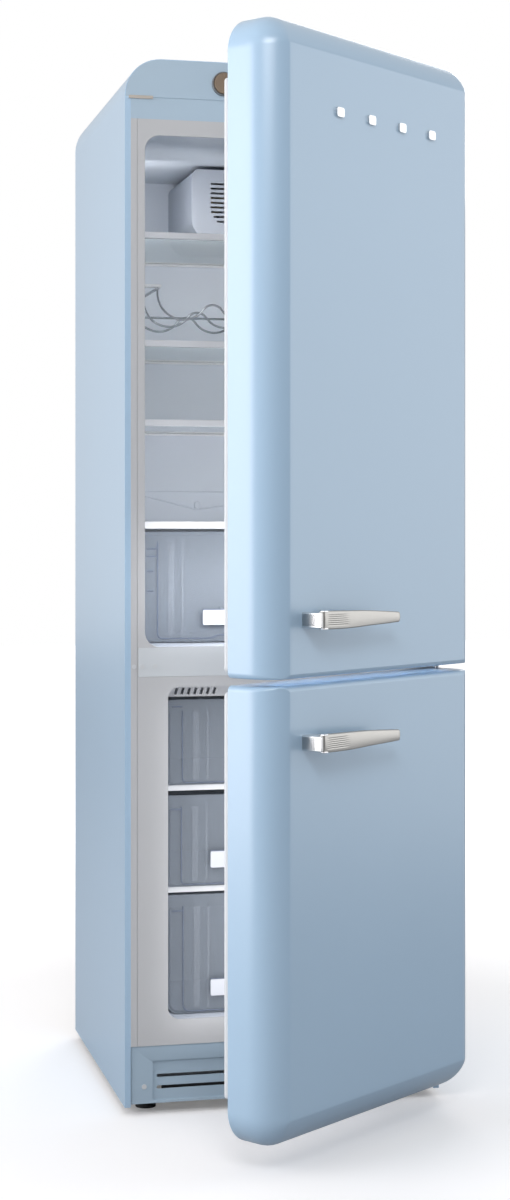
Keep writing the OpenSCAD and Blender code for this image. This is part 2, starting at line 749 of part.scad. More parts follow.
// Wire bottle rack: three waved wires between two end rods, which hang on side clips,
// and a straight stop bar along the rear wire
rack_pitch = (fridge_x - 37) / 2;
rack_rise = 29;
rack_a = 2 * atan(rack_rise / (rack_pitch / 2));
rack_sum = rack_pitch / 2 / sin(rack_a);
rack_r = rack_sum * 0.68;
rack_crest_r = rack_sum - rack_r;
rack_end_r = 50;
rack_end_up = 6;
rack_w = 2;
rack_z = fridge_z0 + shelf_zs[1] + 47;
rack_ys = [yf + 105, yf + 245, yf + 345];
rack_xe = 1.5 * rack_pitch + rack_end_r;
function arc(xc, zc, r, a0, a1, n) =
    [for (i = [1 : n]) let(a = a0 + (a1 - a0) * i / n) [xc + r * cos(a), zc + r * sin(a)]];
rack_path = concat(
    [[-rack_xe, rack_z + rack_end_r + rack_end_up], [-rack_xe, rack_z + rack_end_r]],
    arc(-1.5 * rack_pitch, rack_z + rack_end_r, rack_end_r, 180, 270, 5),
    [for (k = [-1 : 1]) each concat(
        arc((k - 0.5) * rack_pitch, rack_z + rack_r, rack_r, 270, 270 + rack_a, 3),
        arc(k * rack_pitch, rack_z + rack_rise - rack_crest_r, rack_crest_r,
            90 + rack_a, 90 - rack_a, 5),
        arc((k + 0.5) * rack_pitch, rack_z + rack_r, rack_r, 270 - rack_a, 270, 3))],
    arc(1.5 * rack_pitch, rack_z + rack_end_r, rack_end_r, 270, 360, 5),
    [[rack_xe, rack_z + rack_end_r + rack_end_up]]);
function wire_ring(p, y, d) = let(
    u = d / norm(d)
) [for (k = [0 : 7]) [
    p[0] - rack_w * cos(k * 45) * u[1], y + rack_w * sin(k * 45), p[1] + rack_w * cos(k * 45) * u[0]]];

module wave_wire(y) {
    p = rack_path;
    n = len(p) - 1;
    v = [for (i = [0 : n]) each wire_ring(p[i], y, p[min(i + 1, n)] - p[max(i - 1, 0)])];
    f = concat(
        [[for (k = [7 : -1 : 0]) k]],
        [for (i = [0 : n - 1]) for (k = [0 : 7])
            [i * 8 + k, i * 8 + (k + 1) % 8, i * 8 + 8 + (k + 1) % 8, i * 8 + 8 + k]],
        [[for (k = [0 : 7]) n * 8 + k]]);
    polyhedron(points = v, faces = f);
}

module wine_rack() {
    y0 = rack_ys[0];
    y1 = rack_ys[2];
    zr = rack_z + rack_end_r + rack_end_up + 1.5;
    color(c_chrome) {
        for (y = rack_ys) wave_wire(y);
        for (s = [-1, 1]) {
            rod_y(s * rack_xe, zr, y0 - 4, y1 + 4, 3);
            for (y = [y0 + 4, y1 - 4])
                box([s * (fridge_x + rack_xe - 8) / 2 - (fridge_x - rack_xe + 8) / 2, y - 6, zr + 2],
                    [s * (fridge_x + rack_xe - 8) / 2 + (fridge_x - rack_xe + 8) / 2, y + 6, zr + 8]);
        }
        rod_x(rack_ys[2] + 3.5, rack_z + rack_rise - 1, -rack_xe - 30, rack_xe + 30, 2.2);
    }
}

module freezer_shelves() {
    color(c_white) for (i = [1, 2]) {
        z = freezer_z0 + drawer_zs[i];
        box([-freezer_x, yf + drawer_y0 + 4, z - 7], [freezer_x, freezer_yb - 14, z - 1]);
        box([-freezer_x, yf + drawer_y0 + 4, z - 11], [freezer_x, yf + drawer_y0 + 10, z - 6]);
    }
}

// ---------- Drawers ----------

// Open tub with a front panel that stands proud of its side walls
module tub(x, y0, d, z0, h, front_h, rb = 5) {
    t = tub_t;
    difference() {
        union() {
            slab(-x + 4, z0, x - 4, z0 + h, y0 + t, y0 + d, 0, rb);
            slab(-x, z0, x, z0 + front_h, y0, y0 + 8, 5, rb);
        }
        slab(-x + 4 + t, z0 + t, x - 4 - t, z0 + h + eps, y0 + 8, y0 + d - t, 0, rb - t);
    }
}

// Grip on a drawer front, standing forward of the panel
module grip(w, h, z, y0) {
    difference() {
        slab(-w, z, w, z + h, y0 - 10, y0 + 1, 3, 3);
        box([-w + 4, y0 - 6, z - eps], [w - 4, y0, z + h - 6]);
    }
}

crisper_x = fridge_x - side_clear;
module crisper_drawer() {
    z0 = fridge_z0 + 2;
    y0 = yf + shelf_y0 + 12;
    color(c_clear) {
        tub(crisper_x - 2, y0, crisper_d, z0, crisper_h - 8, crisper_h, fridge_r - 2);
        grip(98, 32, z0 + 34, y0);
    }
}

drawer_x = freezer_x - side_clear;
module freezer_drawer(i, d) {
    z0 = freezer_z0 + drawer_zs[i];
    y0 = yf + drawer_y0;
    color(c_clear) {
        tub(drawer_x, y0, d, z0, drawer_hs[i] - 26, drawer_hs[i], i == 0 ? freezer_r - 2 : 5);
        grip(57, 34, z0 + 34, y0);
    }
}
module freezer_drawer_bottom() { freezer_drawer(0, low_drawer_d); }
module freezer_drawer_middle() { freezer_drawer(1, drawer_d); }
module freezer_drawer_top() { freezer_drawer(2, drawer_d); }

// ---------- Thermostat ----------

dial_x = xl + 184;
dial_z = body_h - 40;
dial_hub_r = 6;
module thermostat_bezel() {
    color(c_dark) difference() {
        rod_y(dial_x, dial_z, yf - 4, yf, dial_r + 3);
        rod_y(dial_x, dial_z, yf - 5, yf - 1.5, dial_r + 0.4);
        rod_y(dial_x, dial_z, yf - 5, yf + eps, dial_hub_r + run_clear);
    }
}

module thermostat_dial() {
    color([0.52, 0.44, 0.37]) {
        rod_y(dial_x, dial_z, yf - 8, yf - 2, dial_r);
        rod_y(dial_x, dial_z, yf - 3, yf + 2, dial_hub_r);
        box([dial_x - 1.2, yf - 9.5, dial_z + 2], [dial_x + 1.2, yf - 7.5, dial_z + dial_r - 2]);
    }
}

// ---------- Doors ----------

// Angles at which the rounded edge of a door is stepped
pillow_a = [0, 11, 22, 33, 43, 52, 59, 65];
// Depth of the door's straight edge before it starts to round
pillow_y = 36;
// Points on each rounded corner of a step
arc_n = 8;

// One quarter circle of a step's outline
function quarter(cx, cz, r, from) =
    [for (i = [0 : arc_n]) let(a = from + 90 * i / arc_n) [cx + r * cos(a), cz + r * sin(a)]];

// Outline of one step: share e of the inset, rounded end up or down
function step_ring(z0, z1, end, g, e, y, cut) = let(
    x = body_w / 2 - (crease_side - g) * e - g,
    io = (crease_end - g) * e + g,
    r = max((door_r - g) * (1 - e), 1.5),
    rs = max((split_r - g) * (1 - e), 1.5),
    lo = end == 1 ? z0 + cut + g : z0 + io,
    hi = end == 1 ? z1 - io : z1 - cut - g,
    rl = end == 1 ? rs : r,
    rh = end == 1 ? r : rs
) [for (p = concat(
        quarter(x - rh, hi - rh, rh, 0), quarter(-x + rh, hi - rh, rh, 90),
        quarter(-x + rl, lo + rl, rl, 180), quarter(x - rl, lo + rl, rl, 270)))
    [p[0], y, p[1]]];

// Solid pillow between two heights: end is 1 with the rounded end on top and
// 0 with it at the bottom, g is a wall taken off all round and b lengthens the back
module pillow(z0, z1, end, g, b = 0) {
    n = 4 * (arc_n + 1);
    m = len(pillow_a);
    rise = door_t - pillow_y - g;
    y_of = [for (a = pillow_a) door_y0 - pillow_y - rise * sin(a) / sin(pillow_a[m - 1])];
    e_of = [for (a = pillow_a) (1 - cos(a)) / (1 - cos(pillow_a[m - 1]))];
    q_of = [for (y = y_of) max(0, (split_r - (y - door_y1 - g)) / split_r)];
    pts = concat(
        step_ring(z0, z1, end, g, 0, door_y0 + b, 0),
        [for (k = [0 : m - 1]) each step_ring(z0, z1, end, g, e_of[k], y_of[k],
            split_r * (1 - sqrt(1 - 0.96 * q_of[k] * q_of[k])))]);
    sides = [for (k = [0 : m - 1]) for (i = [0 : n - 1]) let(j = (i + 1) % n)
        each [[k * n + i, k * n + n + j, k * n + j], [k * n + i, k * n + n + i, k * n + n + j]]];
    polyhedron(points = pts, faces = concat(
        [[for (i = [0 : n - 1]) i]], sides, [[for (i = [n - 1 : -1 : 0]) m * n + i]]));
}

// Skin of a door, open at the back
module door_skin(z0, z1, end) {
    difference() {
        pillow(z0, z1, end, 0);
        pillow(z0, z1, end, sheet_t, eps);
        hinge_cuts(z0, z1, end);
    }
}

// Insulation that fills a door's skin, cut back from its rear edge
module door_foam(z0, z1, end, back) {
    difference() {
        pillow(z0, z1, end, sheet_t + 0.01);
        box([xl - eps, door_y0 - back, z0 - eps], [xr + eps, yf, z1 + eps]);
        hinge_cuts(z0, z1, end);
    }
}

module fridge_door_skin() {
    color(c_body) on_door() door_skin(split_z, door_top, 1);
}
module freezer_door_skin() {
    color(c_body) on_door() door_skin(door_z0, split_z - split_gap, 0);
}
module fridge_door_foam() {
    color(c_foam) on_door() door_foam(split_z, door_top, 1, 2);
}
module freezer_door_core() {
    color(c_white) on_door() {
        door_foam(door_z0, split_z - split_gap, 0, 0.02);
        slab(-freezer_x + 20, freezer_z0 + 20, freezer_x - 20, freezer_z1 - 20,
            door_y0 - 0.5, door_y0 + 10, 20, 20);
    }
}

// Inner panel of the upper door, with a raised field that carries the bins
bin_x = body_w / 2 - 94;
field_y = door_y0 + 18;
module fridge_door_liner() {
    g = sheet_t + 0.5;
    color(c_white) on_door() {
        difference() {
            slab(xl + g, split_z + g, xr - g, door_top - g, door_y0 - 2, door_y0, door_r - g, split_r - g);
            end_recess(1);
        }
        slab(-bin_x - 16, fridge_z0 + 24, bin_x + 16, fridge_z1 - 24, door_y0 - 0.5, field_y, 20, 20);
    }
}

// Magnetic gasket: a soft frame between the door and the cabinet
gasket_w = 16;
module gasket(z0, z1) {
    x = body_w / 2 - hinge_inset - 1;
    free_x = body_w / 2 - 5;
    color(c_white) on_door() difference() {
        slab(-free_x, z0, x, z1, door_y0, yf - 0.6, 8, 8);
        slab(-free_x + gasket_w, z0 + gasket_w, x - gasket_w, z1 - gasket_w,
            door_y0 - eps, yf + eps, 4, 4);
    }
}
module fridge_door_gasket() { gasket(split_z + 9, band_z0 + 3); }
module freezer_door_gasket() { gasket(freezer_z0 - 50, split_z - split_gap - 12); }

// Block that carries a lever, standing on the door's front panel
handle_z_up = split_z + handle_rise;
handle_z_low = split_z - split_gap - handle_fall;
handle_x = xl + handle_inset;
module handle_block(z) {
    y1 = door_y1 - lever_out + lever_t;
    color(c_chrome) on_door()
        slab(handle_x, z - block_h / 2, handle_x + block_w, z + block_h / 2, y1, door_y1, 3, 3);
}

// Lever that tapers from its block towards the hinge side
module handle_lever(z, dir) {
    y0 = door_y1 - lever_out;
    h = lever_h / 2;
    t = lever_tip_h / 2;
    m = dir * (h - t) * 0.45;
    color(c_chrome) on_door() difference() {
        translate([0, y0 + lever_t, 0]) rotate([90, 0, 0]) linear_extrude(height = lever_t)
            polygon([[handle_x, z - h + 3], [handle_x + 14, z - h], [handle_x + 60, z - h],
                [handle_x + lever_l, z - t + m], [handle_x + lever_l, z + t + m],
                [handle_x + 60, z + h], [handle_x + 14, z + h], [handle_x, z + h - 3]]);
        for (k = [-2 : 2])
            box([handle_x + 16, y0 - eps, z + k * 4.5 - 0.5], [handle_x + 66, y0 + 0.5, z + k * 4.5 + 0.5]);
    }
}
module fridge_handle_block() { handle_block(handle_z_up); }
module freezer_handle_block() { handle_block(handle_z_low); }
module fridge_handle_lever() { handle_lever(handle_z_up, 0.5); }
module freezer_handle_lever() { handle_lever(handle_z_low, -0.3); }

// Row of four plain bright studs high on the upper door
module fridge_door_trim() {
    z = door_top - 148;
    color(c_chrome) on_door() for (i = [0 : 3])
        slab(xl + 168 + i * 90, z - 8, xl + 188 + i * 90, z + 8, door_y1 - 4, door_y1, 4, 4);
}

// Bin hung on the raised field of the upper door
bin_d = 62;
bin_t = 3;
module door_bin(z0, h, front_h) {
    y0 = field_y;
    y1 = field_y + bin_d;
    color(c_clear) on_door() difference() {
        union() {
            slab(-bin_x, z0, bin_x, z0 + front_h, y0, y1, 0, 0);
            box([-bin_x, y0, z0], [bin_x, y0 + bin_t, z0 + h]);
        }
        box([-bin_x + bin_t, y0 + bin_t, z0 + bin_t], [bin_x - bin_t, y1 - bin_t, z0 + h + eps]);
    }
}
module door_bin_lower() { door_bin(fridge_z0 + 50, 130, 105); }
module door_bin_middle() { door_bin(fridge_z0 + 370, 90, 75); }
module door_bin_upper() { door_bin(fridge_z0 + 640, 90, 75); }

cabinet_shell();
back_panel();
cabinet_foam();
fridge_liner();
freezer_liner();
front_frame();
mid_rail();
screw_plugs();
top_fascia();
control_band();
hinge_clip();
plinth();
base_frame();
compressor();
compressor_mounts();
condenser();
power_inlet();
top_hinge();
middle_hinge();
bottom_hinge();
fan_cover();
fan_motor();
evaporator_cover();
freezer_vent();
shelf_supports();
shelf_lower();
shelf_lower_trim();
shelf_middle();
shelf_middle_trim();
shelf_upper();
shelf_upper_trim();
crisper_cover();
wine_rack();
freezer_shelves();
thermostat_bezel();
thermostat_dial();
fan_rotor();
roller_left();
roller_right();
foot_left();
foot_right();
crisper_drawer();
freezer_drawer_bottom();
freezer_drawer_middle();
freezer_drawer_top();
fridge_door_skin();
fridge_door_foam();
fridge_door_liner();
fridge_door_gasket();
fridge_handle_block();
fridge_handle_lever();
fridge_door_trim();
door_bin_lower();
door_bin_middle();
door_bin_upper();
freezer_door_skin();
freezer_door_core();
freezer_door_gasket();
freezer_handle_block();
freezer_handle_lever();
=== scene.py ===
"""Looks of a two-door upright refrigerator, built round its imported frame.

Every length is in metres. X runs across the width, -Y is the front, Z is up.
"""

import json
import logging
import math
from dataclasses import dataclass, field
from enum import Enum
from functools import cached_property

import bmesh
import bpy
import numpy as np
from mathutils import Matrix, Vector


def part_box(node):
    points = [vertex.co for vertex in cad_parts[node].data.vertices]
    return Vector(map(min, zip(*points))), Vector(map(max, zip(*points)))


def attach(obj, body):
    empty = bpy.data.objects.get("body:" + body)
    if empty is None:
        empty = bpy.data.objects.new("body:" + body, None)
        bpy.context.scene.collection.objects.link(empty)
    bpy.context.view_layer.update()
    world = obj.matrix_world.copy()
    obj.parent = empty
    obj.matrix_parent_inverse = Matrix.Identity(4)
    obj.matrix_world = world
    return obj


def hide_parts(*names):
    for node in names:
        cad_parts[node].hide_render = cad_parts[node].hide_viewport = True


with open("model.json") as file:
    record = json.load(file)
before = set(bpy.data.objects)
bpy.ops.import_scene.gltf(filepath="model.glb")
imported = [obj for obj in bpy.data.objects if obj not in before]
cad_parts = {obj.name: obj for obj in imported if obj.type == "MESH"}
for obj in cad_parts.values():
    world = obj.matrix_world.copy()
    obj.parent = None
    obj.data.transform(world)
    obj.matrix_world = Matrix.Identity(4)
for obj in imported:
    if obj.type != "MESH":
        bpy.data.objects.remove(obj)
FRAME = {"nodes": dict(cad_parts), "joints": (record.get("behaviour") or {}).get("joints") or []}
LOG = logging.getLogger("refrigerator")
RGB = tuple[float, float, float]
COAT_ROUGHNESS = 0.28
DUST_COLOUR = (0.42, 0.40, 0.37, 1.0)
MERGE = 2e-6  # points nearer than this are one


class Body(Enum):
    """Bodies of the frame that pieces ride on."""

    CABINET = "cabinet"
    FRIDGE_DOOR = "fridge_door"
    FREEZER_DOOR = "freezer_door"
    CRISPER = "crisper"
    DRAWER_BOTTOM = "drawer_bottom"
    DRAWER_MIDDLE = "drawer_middle"
    DRAWER_TOP = "drawer_top"


class RoundEnd(Enum):
    """The end of a door that carries the large rounded corners."""

    TOP = 1
    BOTTOM = 0


# ---------------------------------------------------------------- node helpers


class Nodes:
    """Thin helper that adds and joins nodes in one node tree."""

    def __init__(self, tree: bpy.types.NodeTree) -> None:
        """Keeps the tree to work on."""
        self.tree = tree

    def add(self, kind: str, inputs: dict | None = None, **settings) -> bpy.types.Node:
        """Adds a node.

        Args:
            kind: Blender's identifier of the node type.
            inputs: values, or sockets to link, by input name or index.
            settings: attributes set on the node.

        Returns:
            The new node.
        """
        node = self.tree.nodes.new(kind)
        for name, value in settings.items():
            setattr(node, name, value)
        for key, value in (inputs or {}).items():
            if isinstance(value, bpy.types.NodeSocket):
                self.link(value, node.inputs[key])
            else:
                node.inputs[key].default_value = value
        return node

    def math(self, operation: str, a, b=0.0, clamp: bool = False) -> bpy.types.NodeSocket:
        """Adds a Math node and returns its result."""
        return self.add("ShaderNodeMath", {0: a, 1: b}, operation=operation, use_clamp=clamp).outputs[0]

    def mix(self, factor, a, b) -> bpy.types.NodeSocket:
        """Mixes two colours by a factor and returns the colour."""
        return self.add("ShaderNodeMix", {0: factor, 6: a, 7: b}, data_type="RGBA").outputs[2]

    def ramp(self, value, low: float, high: float, out_low: float, out_high: float) -> bpy.types.NodeSocket:
        """Maps a value from one range to another, clamped, and returns it."""
        return self.add("ShaderNodeMapRange", {0: value, 1: low, 2: high, 3: out_low, 4: out_high}).outputs[0]

    def link(self, source: bpy.types.NodeSocket, target: bpy.types.NodeSocket) -> None:
        """Joins two sockets."""
        self.tree.links.new(source, target)

    def object_place(self) -> bpy.types.NodeSocket:
        """Object coordinates."""
        return self.add("ShaderNodeTexCoord").outputs["Object"]


class Effects:
    """Shader groups that several finishes share; each is built once."""

    @staticmethod
    def _start(
        name: str, inputs: dict[str, tuple[str, object]], outputs: dict[str, str]
    ) -> tuple[Nodes, bpy.types.NodeOutputs, bpy.types.NodeInputs]:
        """Makes an empty group with named sockets.

        Args:
            name: the group's name.
            inputs: kind ("Float", "Vector" or "Color") and default by name.
            outputs: kind by name.

        Returns:
            Its nodes, the values that come in, and the sockets that go out.
        """
        tree = bpy.data.node_groups.new(name, "ShaderNodeTree")
        for key, (kind, value) in inputs.items():
            socket = tree.interface.new_socket(name=key, in_out="INPUT", socket_type=f"NodeSocket{kind}")
            socket.default_value = value
        for key, kind in outputs.items():
            tree.interface.new_socket(name=key, in_out="OUTPUT", socket_type=f"NodeSocket{kind}")
        n = Nodes(tree)
        return n, n.add("NodeGroupInput").outputs, n.add("NodeGroupOutput").inputs

    @staticmethod
    def _noise(n: Nodes, vector, scale, detail: float, rough: float = 0.5) -> bpy.types.NodeSocket:
        """Adds a noise texture and returns its value."""
        inputs = {"Vector": vector, "Scale": scale, "Detail": detail, "Roughness": rough}
        return n.add("ShaderNodeTexNoise", inputs).outputs[0]

    @staticmethod
    def _wander(n: Nodes, noise, ins) -> bpy.types.NodeSocket:
        """Roughness that wanders with a noise, by the group's spread."""
        offset = n.math("MULTIPLY", n.math("SUBTRACT", noise, 0.5), ins["Spread"])
        return n.math("ADD", ins["Roughness"], n.math("MULTIPLY", offset, 2.0), clamp=True)

    @cached_property
    def tone(self) -> bpy.types.NodeTree:
        """Slow drift of a colour's lightness, as on a large panel, with painted shade that darkens it towards the
        floor.
        """
        n, ins, outs = self._start(
            "surface tone",
            {"Vector": ("Vector", (0, 0, 0)), "Colour": ("Color", (0.5, 0.5, 0.5, 1)), "Scale": ("Float", 4.0),
             "Drift": ("Float", 0.04), "Floor Shade": ("Float", 1.0)},
            {"Colour": "Color", "Mask": "Float"},
        )
        noise = self._noise(n, ins["Vector"], ins["Scale"], 3.0)
        drift = n.math("MULTIPLY", n.math("SUBTRACT", noise, 0.5), ins["Drift"])
        # Painted shade: the colour is full at 1.6 m and darkens to the floor shade value at the floor.
        height = n.add("ShaderNodeSeparateXYZ", {0: ins["Vector"]}).outputs[2]
        fade = n.ramp(height, 0.0, 1.6, 1.0, 0.0)
        low = n.math("SUBTRACT", 1.0, n.math("MULTIPLY", fade, n.math("SUBTRACT", 1.0, ins["Floor Shade"])))
        gain = n.math("MULTIPLY", n.math("ADD", n.math("MULTIPLY", drift, 2.0), 1.0), low)
        scaled = n.add("ShaderNodeVectorMath", {0: ins["Colour"], 1: gain}, operation="MULTIPLY")
        n.link(scaled.outputs[0], outs["Colour"])
        n.link(noise, outs["Mask"])
        return n.tree

    @cached_property
    def skin(self) -> bpy.types.NodeTree:
        """Fine surface texture: rippled paint or moulded grain, with uneven roughness."""
        n, ins, outs = self._start(
            "surface skin",
            {"Vector": ("Vector", (0, 0, 0)), "Scale": ("Float", 400.0),
             "Roughness": ("Float", 0.4), "Spread": ("Float", 0.1)},
            {"Height": "Float", "Roughness": "Float"},
        )
        fine = self._noise(n, ins["Vector"], ins["Scale"], 2.0)
        broad = self._noise(n, ins["Vector"], 9.0, 4.0)
        n.link(fine, outs["Height"])
        n.link(self._wander(n, broad, ins), outs["Roughness"])
        return n.tree

    @cached_property
    def grain(self) -> bpy.types.NodeTree:
        """Long fine scratches along one axis, as left by a brush on metal."""
        n, ins, outs = self._start(
            "brushed grain",
            {"Vector": ("Vector", (0, 0, 0)), "Stretch": ("Vector", (1, 1, 60)), "Scale": ("Float", 40.0),
             "Roughness": ("Float", 0.3), "Spread": ("Float", 0.15)},
            {"Height": "Float", "Roughness": "Float"},
        )
        along = n.add("ShaderNodeVectorMath", {0: ins["Vector"], 1: ins["Stretch"]}, operation="MULTIPLY")
        noise = self._noise(n, along.outputs[0], ins["Scale"], 5.0, 0.7)
        n.link(noise, outs["Height"])
        n.link(self._wander(n, noise, ins), outs["Roughness"])
        return n.tree

    @cached_property
    def dust(self) -> bpy.types.NodeTree:
        """Patchy dust that settles on a part, as a mask."""
        inputs = {"Vector": ("Vector", (0, 0, 0)), "Amount": ("Float", 0.3)}
        n, ins, outs = self._start("settled dust", inputs, {"Mask": "Float"})
        mask = n.ramp(self._noise(n, ins["Vector"], 22.0, 6.0), 0.42, 0.75, 0.0, 1.0)
        n.link(n.math("MULTIPLY", mask, ins["Amount"]), outs["Mask"])
        return n.tree


EFFECTS = Effects()


# ---------------------------------------------------------------- finishes


@dataclass(frozen=True)
class Finish:
    """A surface finish that can be turned into a material.

    Args:
        name: the material's name.
        slot: the record's material slot it belongs to; not used.
        colour: base colour, linear.
        rough: mean roughness.
        metallic: metallic share.
        drift: how far the tone drifts over the surface.
        floor_shade: painted shade, the tone at the floor against the tone at the top.
        grain: scale of the fine texture.
        bump: height of the fine texture in metres.
        coat: weight of the clear coat.
        specular: specular level.
        uneven: how far the roughness wanders.
    """

    name: str
    slot: str
    colour: RGB
    rough: float = 0.4
    metallic: float = 0.0
    drift: float = 0.04
    floor_shade: float = 1.0
    grain: float = 400.0
    bump: float = 0.00002
    coat: float = 0.0
    specular: float = 0.5
    uneven: float = 0.05

    def build(self) -> bpy.types.Material:
        """Makes the material, or returns it if it is already made."""
        found = bpy.data.materials.get(self.name)
        if found:
            return found
        material = bpy.data.materials.new(self.name)
        material.use_nodes = True
        n = Nodes(material.node_tree)
        shader = material.node_tree.nodes["Principled BSDF"]
        self.dress(n, shader, n.object_place())
        material.diffuse_color = (*self.colour, 1.0)
        return material

    def dress(self, n: Nodes, shader: bpy.types.Node, place: bpy.types.NodeSocket) -> None:
        """Wires the finish into its shader.

        Args:
            n: the material's nodes.
            shader: its Principled BSDF.
            place: object coordinates.
        """
        shader.inputs["Metallic"].default_value = self.metallic
        shader.inputs["Coat Weight"].default_value = self.coat
        shader.inputs["Coat Roughness"].default_value = COAT_ROUGHNESS
        shader.inputs["Specular IOR Level"].default_value = self.specular
        # The tone group paints shade into the base colour, darker towards the floor by the floor shade value.
        tone = n.add(
            "ShaderNodeGroup",
            {"Vector": place, "Colour": (*self.colour, 1.0), "Drift": self.drift, "Floor Shade": self.floor_shade},
            node_tree=EFFECTS.tone
        )
        n.link(tone.outputs["Colour"], shader.inputs["Base Color"])
        self.texture(n, shader, place)

    def texture(self, n: Nodes, shader: bpy.types.Node, place: bpy.types.NodeSocket) -> None:
        """Wires the fine texture into roughness and normal."""
        skin = n.add(
            "ShaderNodeGroup", {"Vector": place, "Scale": self.grain, "Roughness": self.rough, "Spread": self.uneven},
            node_tree=EFFECTS.skin
        )
        self.relief(n, shader, skin)

    def relief(self, n: Nodes, shader: bpy.types.Node, group: bpy.types.Node) -> None:
        """Feeds a group's height and roughness to the shader."""
        bump = n.add("ShaderNodeBump", {"Height": group.outputs["Height"], "Distance": self.bump, "Strength": 1.0})
        n.link(bump.outputs[0], shader.inputs["Normal"])
        n.link(group.outputs["Roughness"], shader.inputs["Roughness"])


@dataclass(frozen=True)
class BrushedMetal(Finish):
    """Metal with a brushed grain along one axis.

    Args:
        stretch: how much finer the grain is along each axis.
    """

    metallic: float = 1.0
    stretch: RGB = (1.0, 1.0, 60.0)

    def texture(self, n: Nodes, shader: bpy.types.Node, place: bpy.types.NodeSocket) -> None:
        """Wires brushed scratches into roughness and normal."""
        grain = n.add(
            "ShaderNodeGroup",
            {"Vector": place, "Stretch": self.stretch, "Roughness": self.rough, "Scale": self.grain},
            node_tree=EFFECTS.grain
        )
        self.relief(n, shader, grain)


@dataclass(frozen=True)
class DustyMetal(Finish):
    """Painted or bare metal with dust on it, as at the back of an appliance.

    Args:
        dust: how much dust lies on it.
    """

    dust: float = 0.3

    def dress(self, n: Nodes, shader: bpy.types.Node, place: bpy.types.NodeSocket) -> None:
        """Wires the dust over the base colour."""
        super().dress(n, shader, place)
        base = shader.inputs["Base Color"].links[0].from_socket
        mask = n.add(
            "ShaderNodeGroup", {"Vector": place, "Amount": self.dust}, node_tree=EFFECTS.dust
        ).outputs["Mask"]
        n.link(n.mix(mask, base, DUST_COLOUR), shader.inputs["Base Color"])


@dataclass(frozen=True)
class ClearPlastic(Finish):
    """Tinted see-through plastic that thickens to its tint at grazing angles.

    Args:
        see: how much shows through it face on.
        rim: how solid it gets at its edges.
    """

    see: float = 0.45
    rim: float = 0.9

    def dress(self, n: Nodes, shader: bpy.types.Node, place: bpy.types.NodeSocket) -> None:
        """Wires the tint and the opacity."""
        super().dress(n, shader, place)
        facing = n.add("ShaderNodeLayerWeight", {"Blend": 0.35}).outputs["Facing"]
        n.link(n.ramp(facing, 0.0, 0.9, 1.0 - self.see, self.rim), shader.inputs["Alpha"])


@dataclass(frozen=True)
class ClearGlass(Finish):
    """Clear float glass with a green cast at its edges."""

    def dress(self, n: Nodes, shader: bpy.types.Node, place: bpy.types.NodeSocket) -> None:
        """Wires the glass."""
        super().dress(n, shader, place)
        shader.inputs["Transmission Weight"].default_value = 0.92
        shader.inputs["IOR"].default_value = 1.45


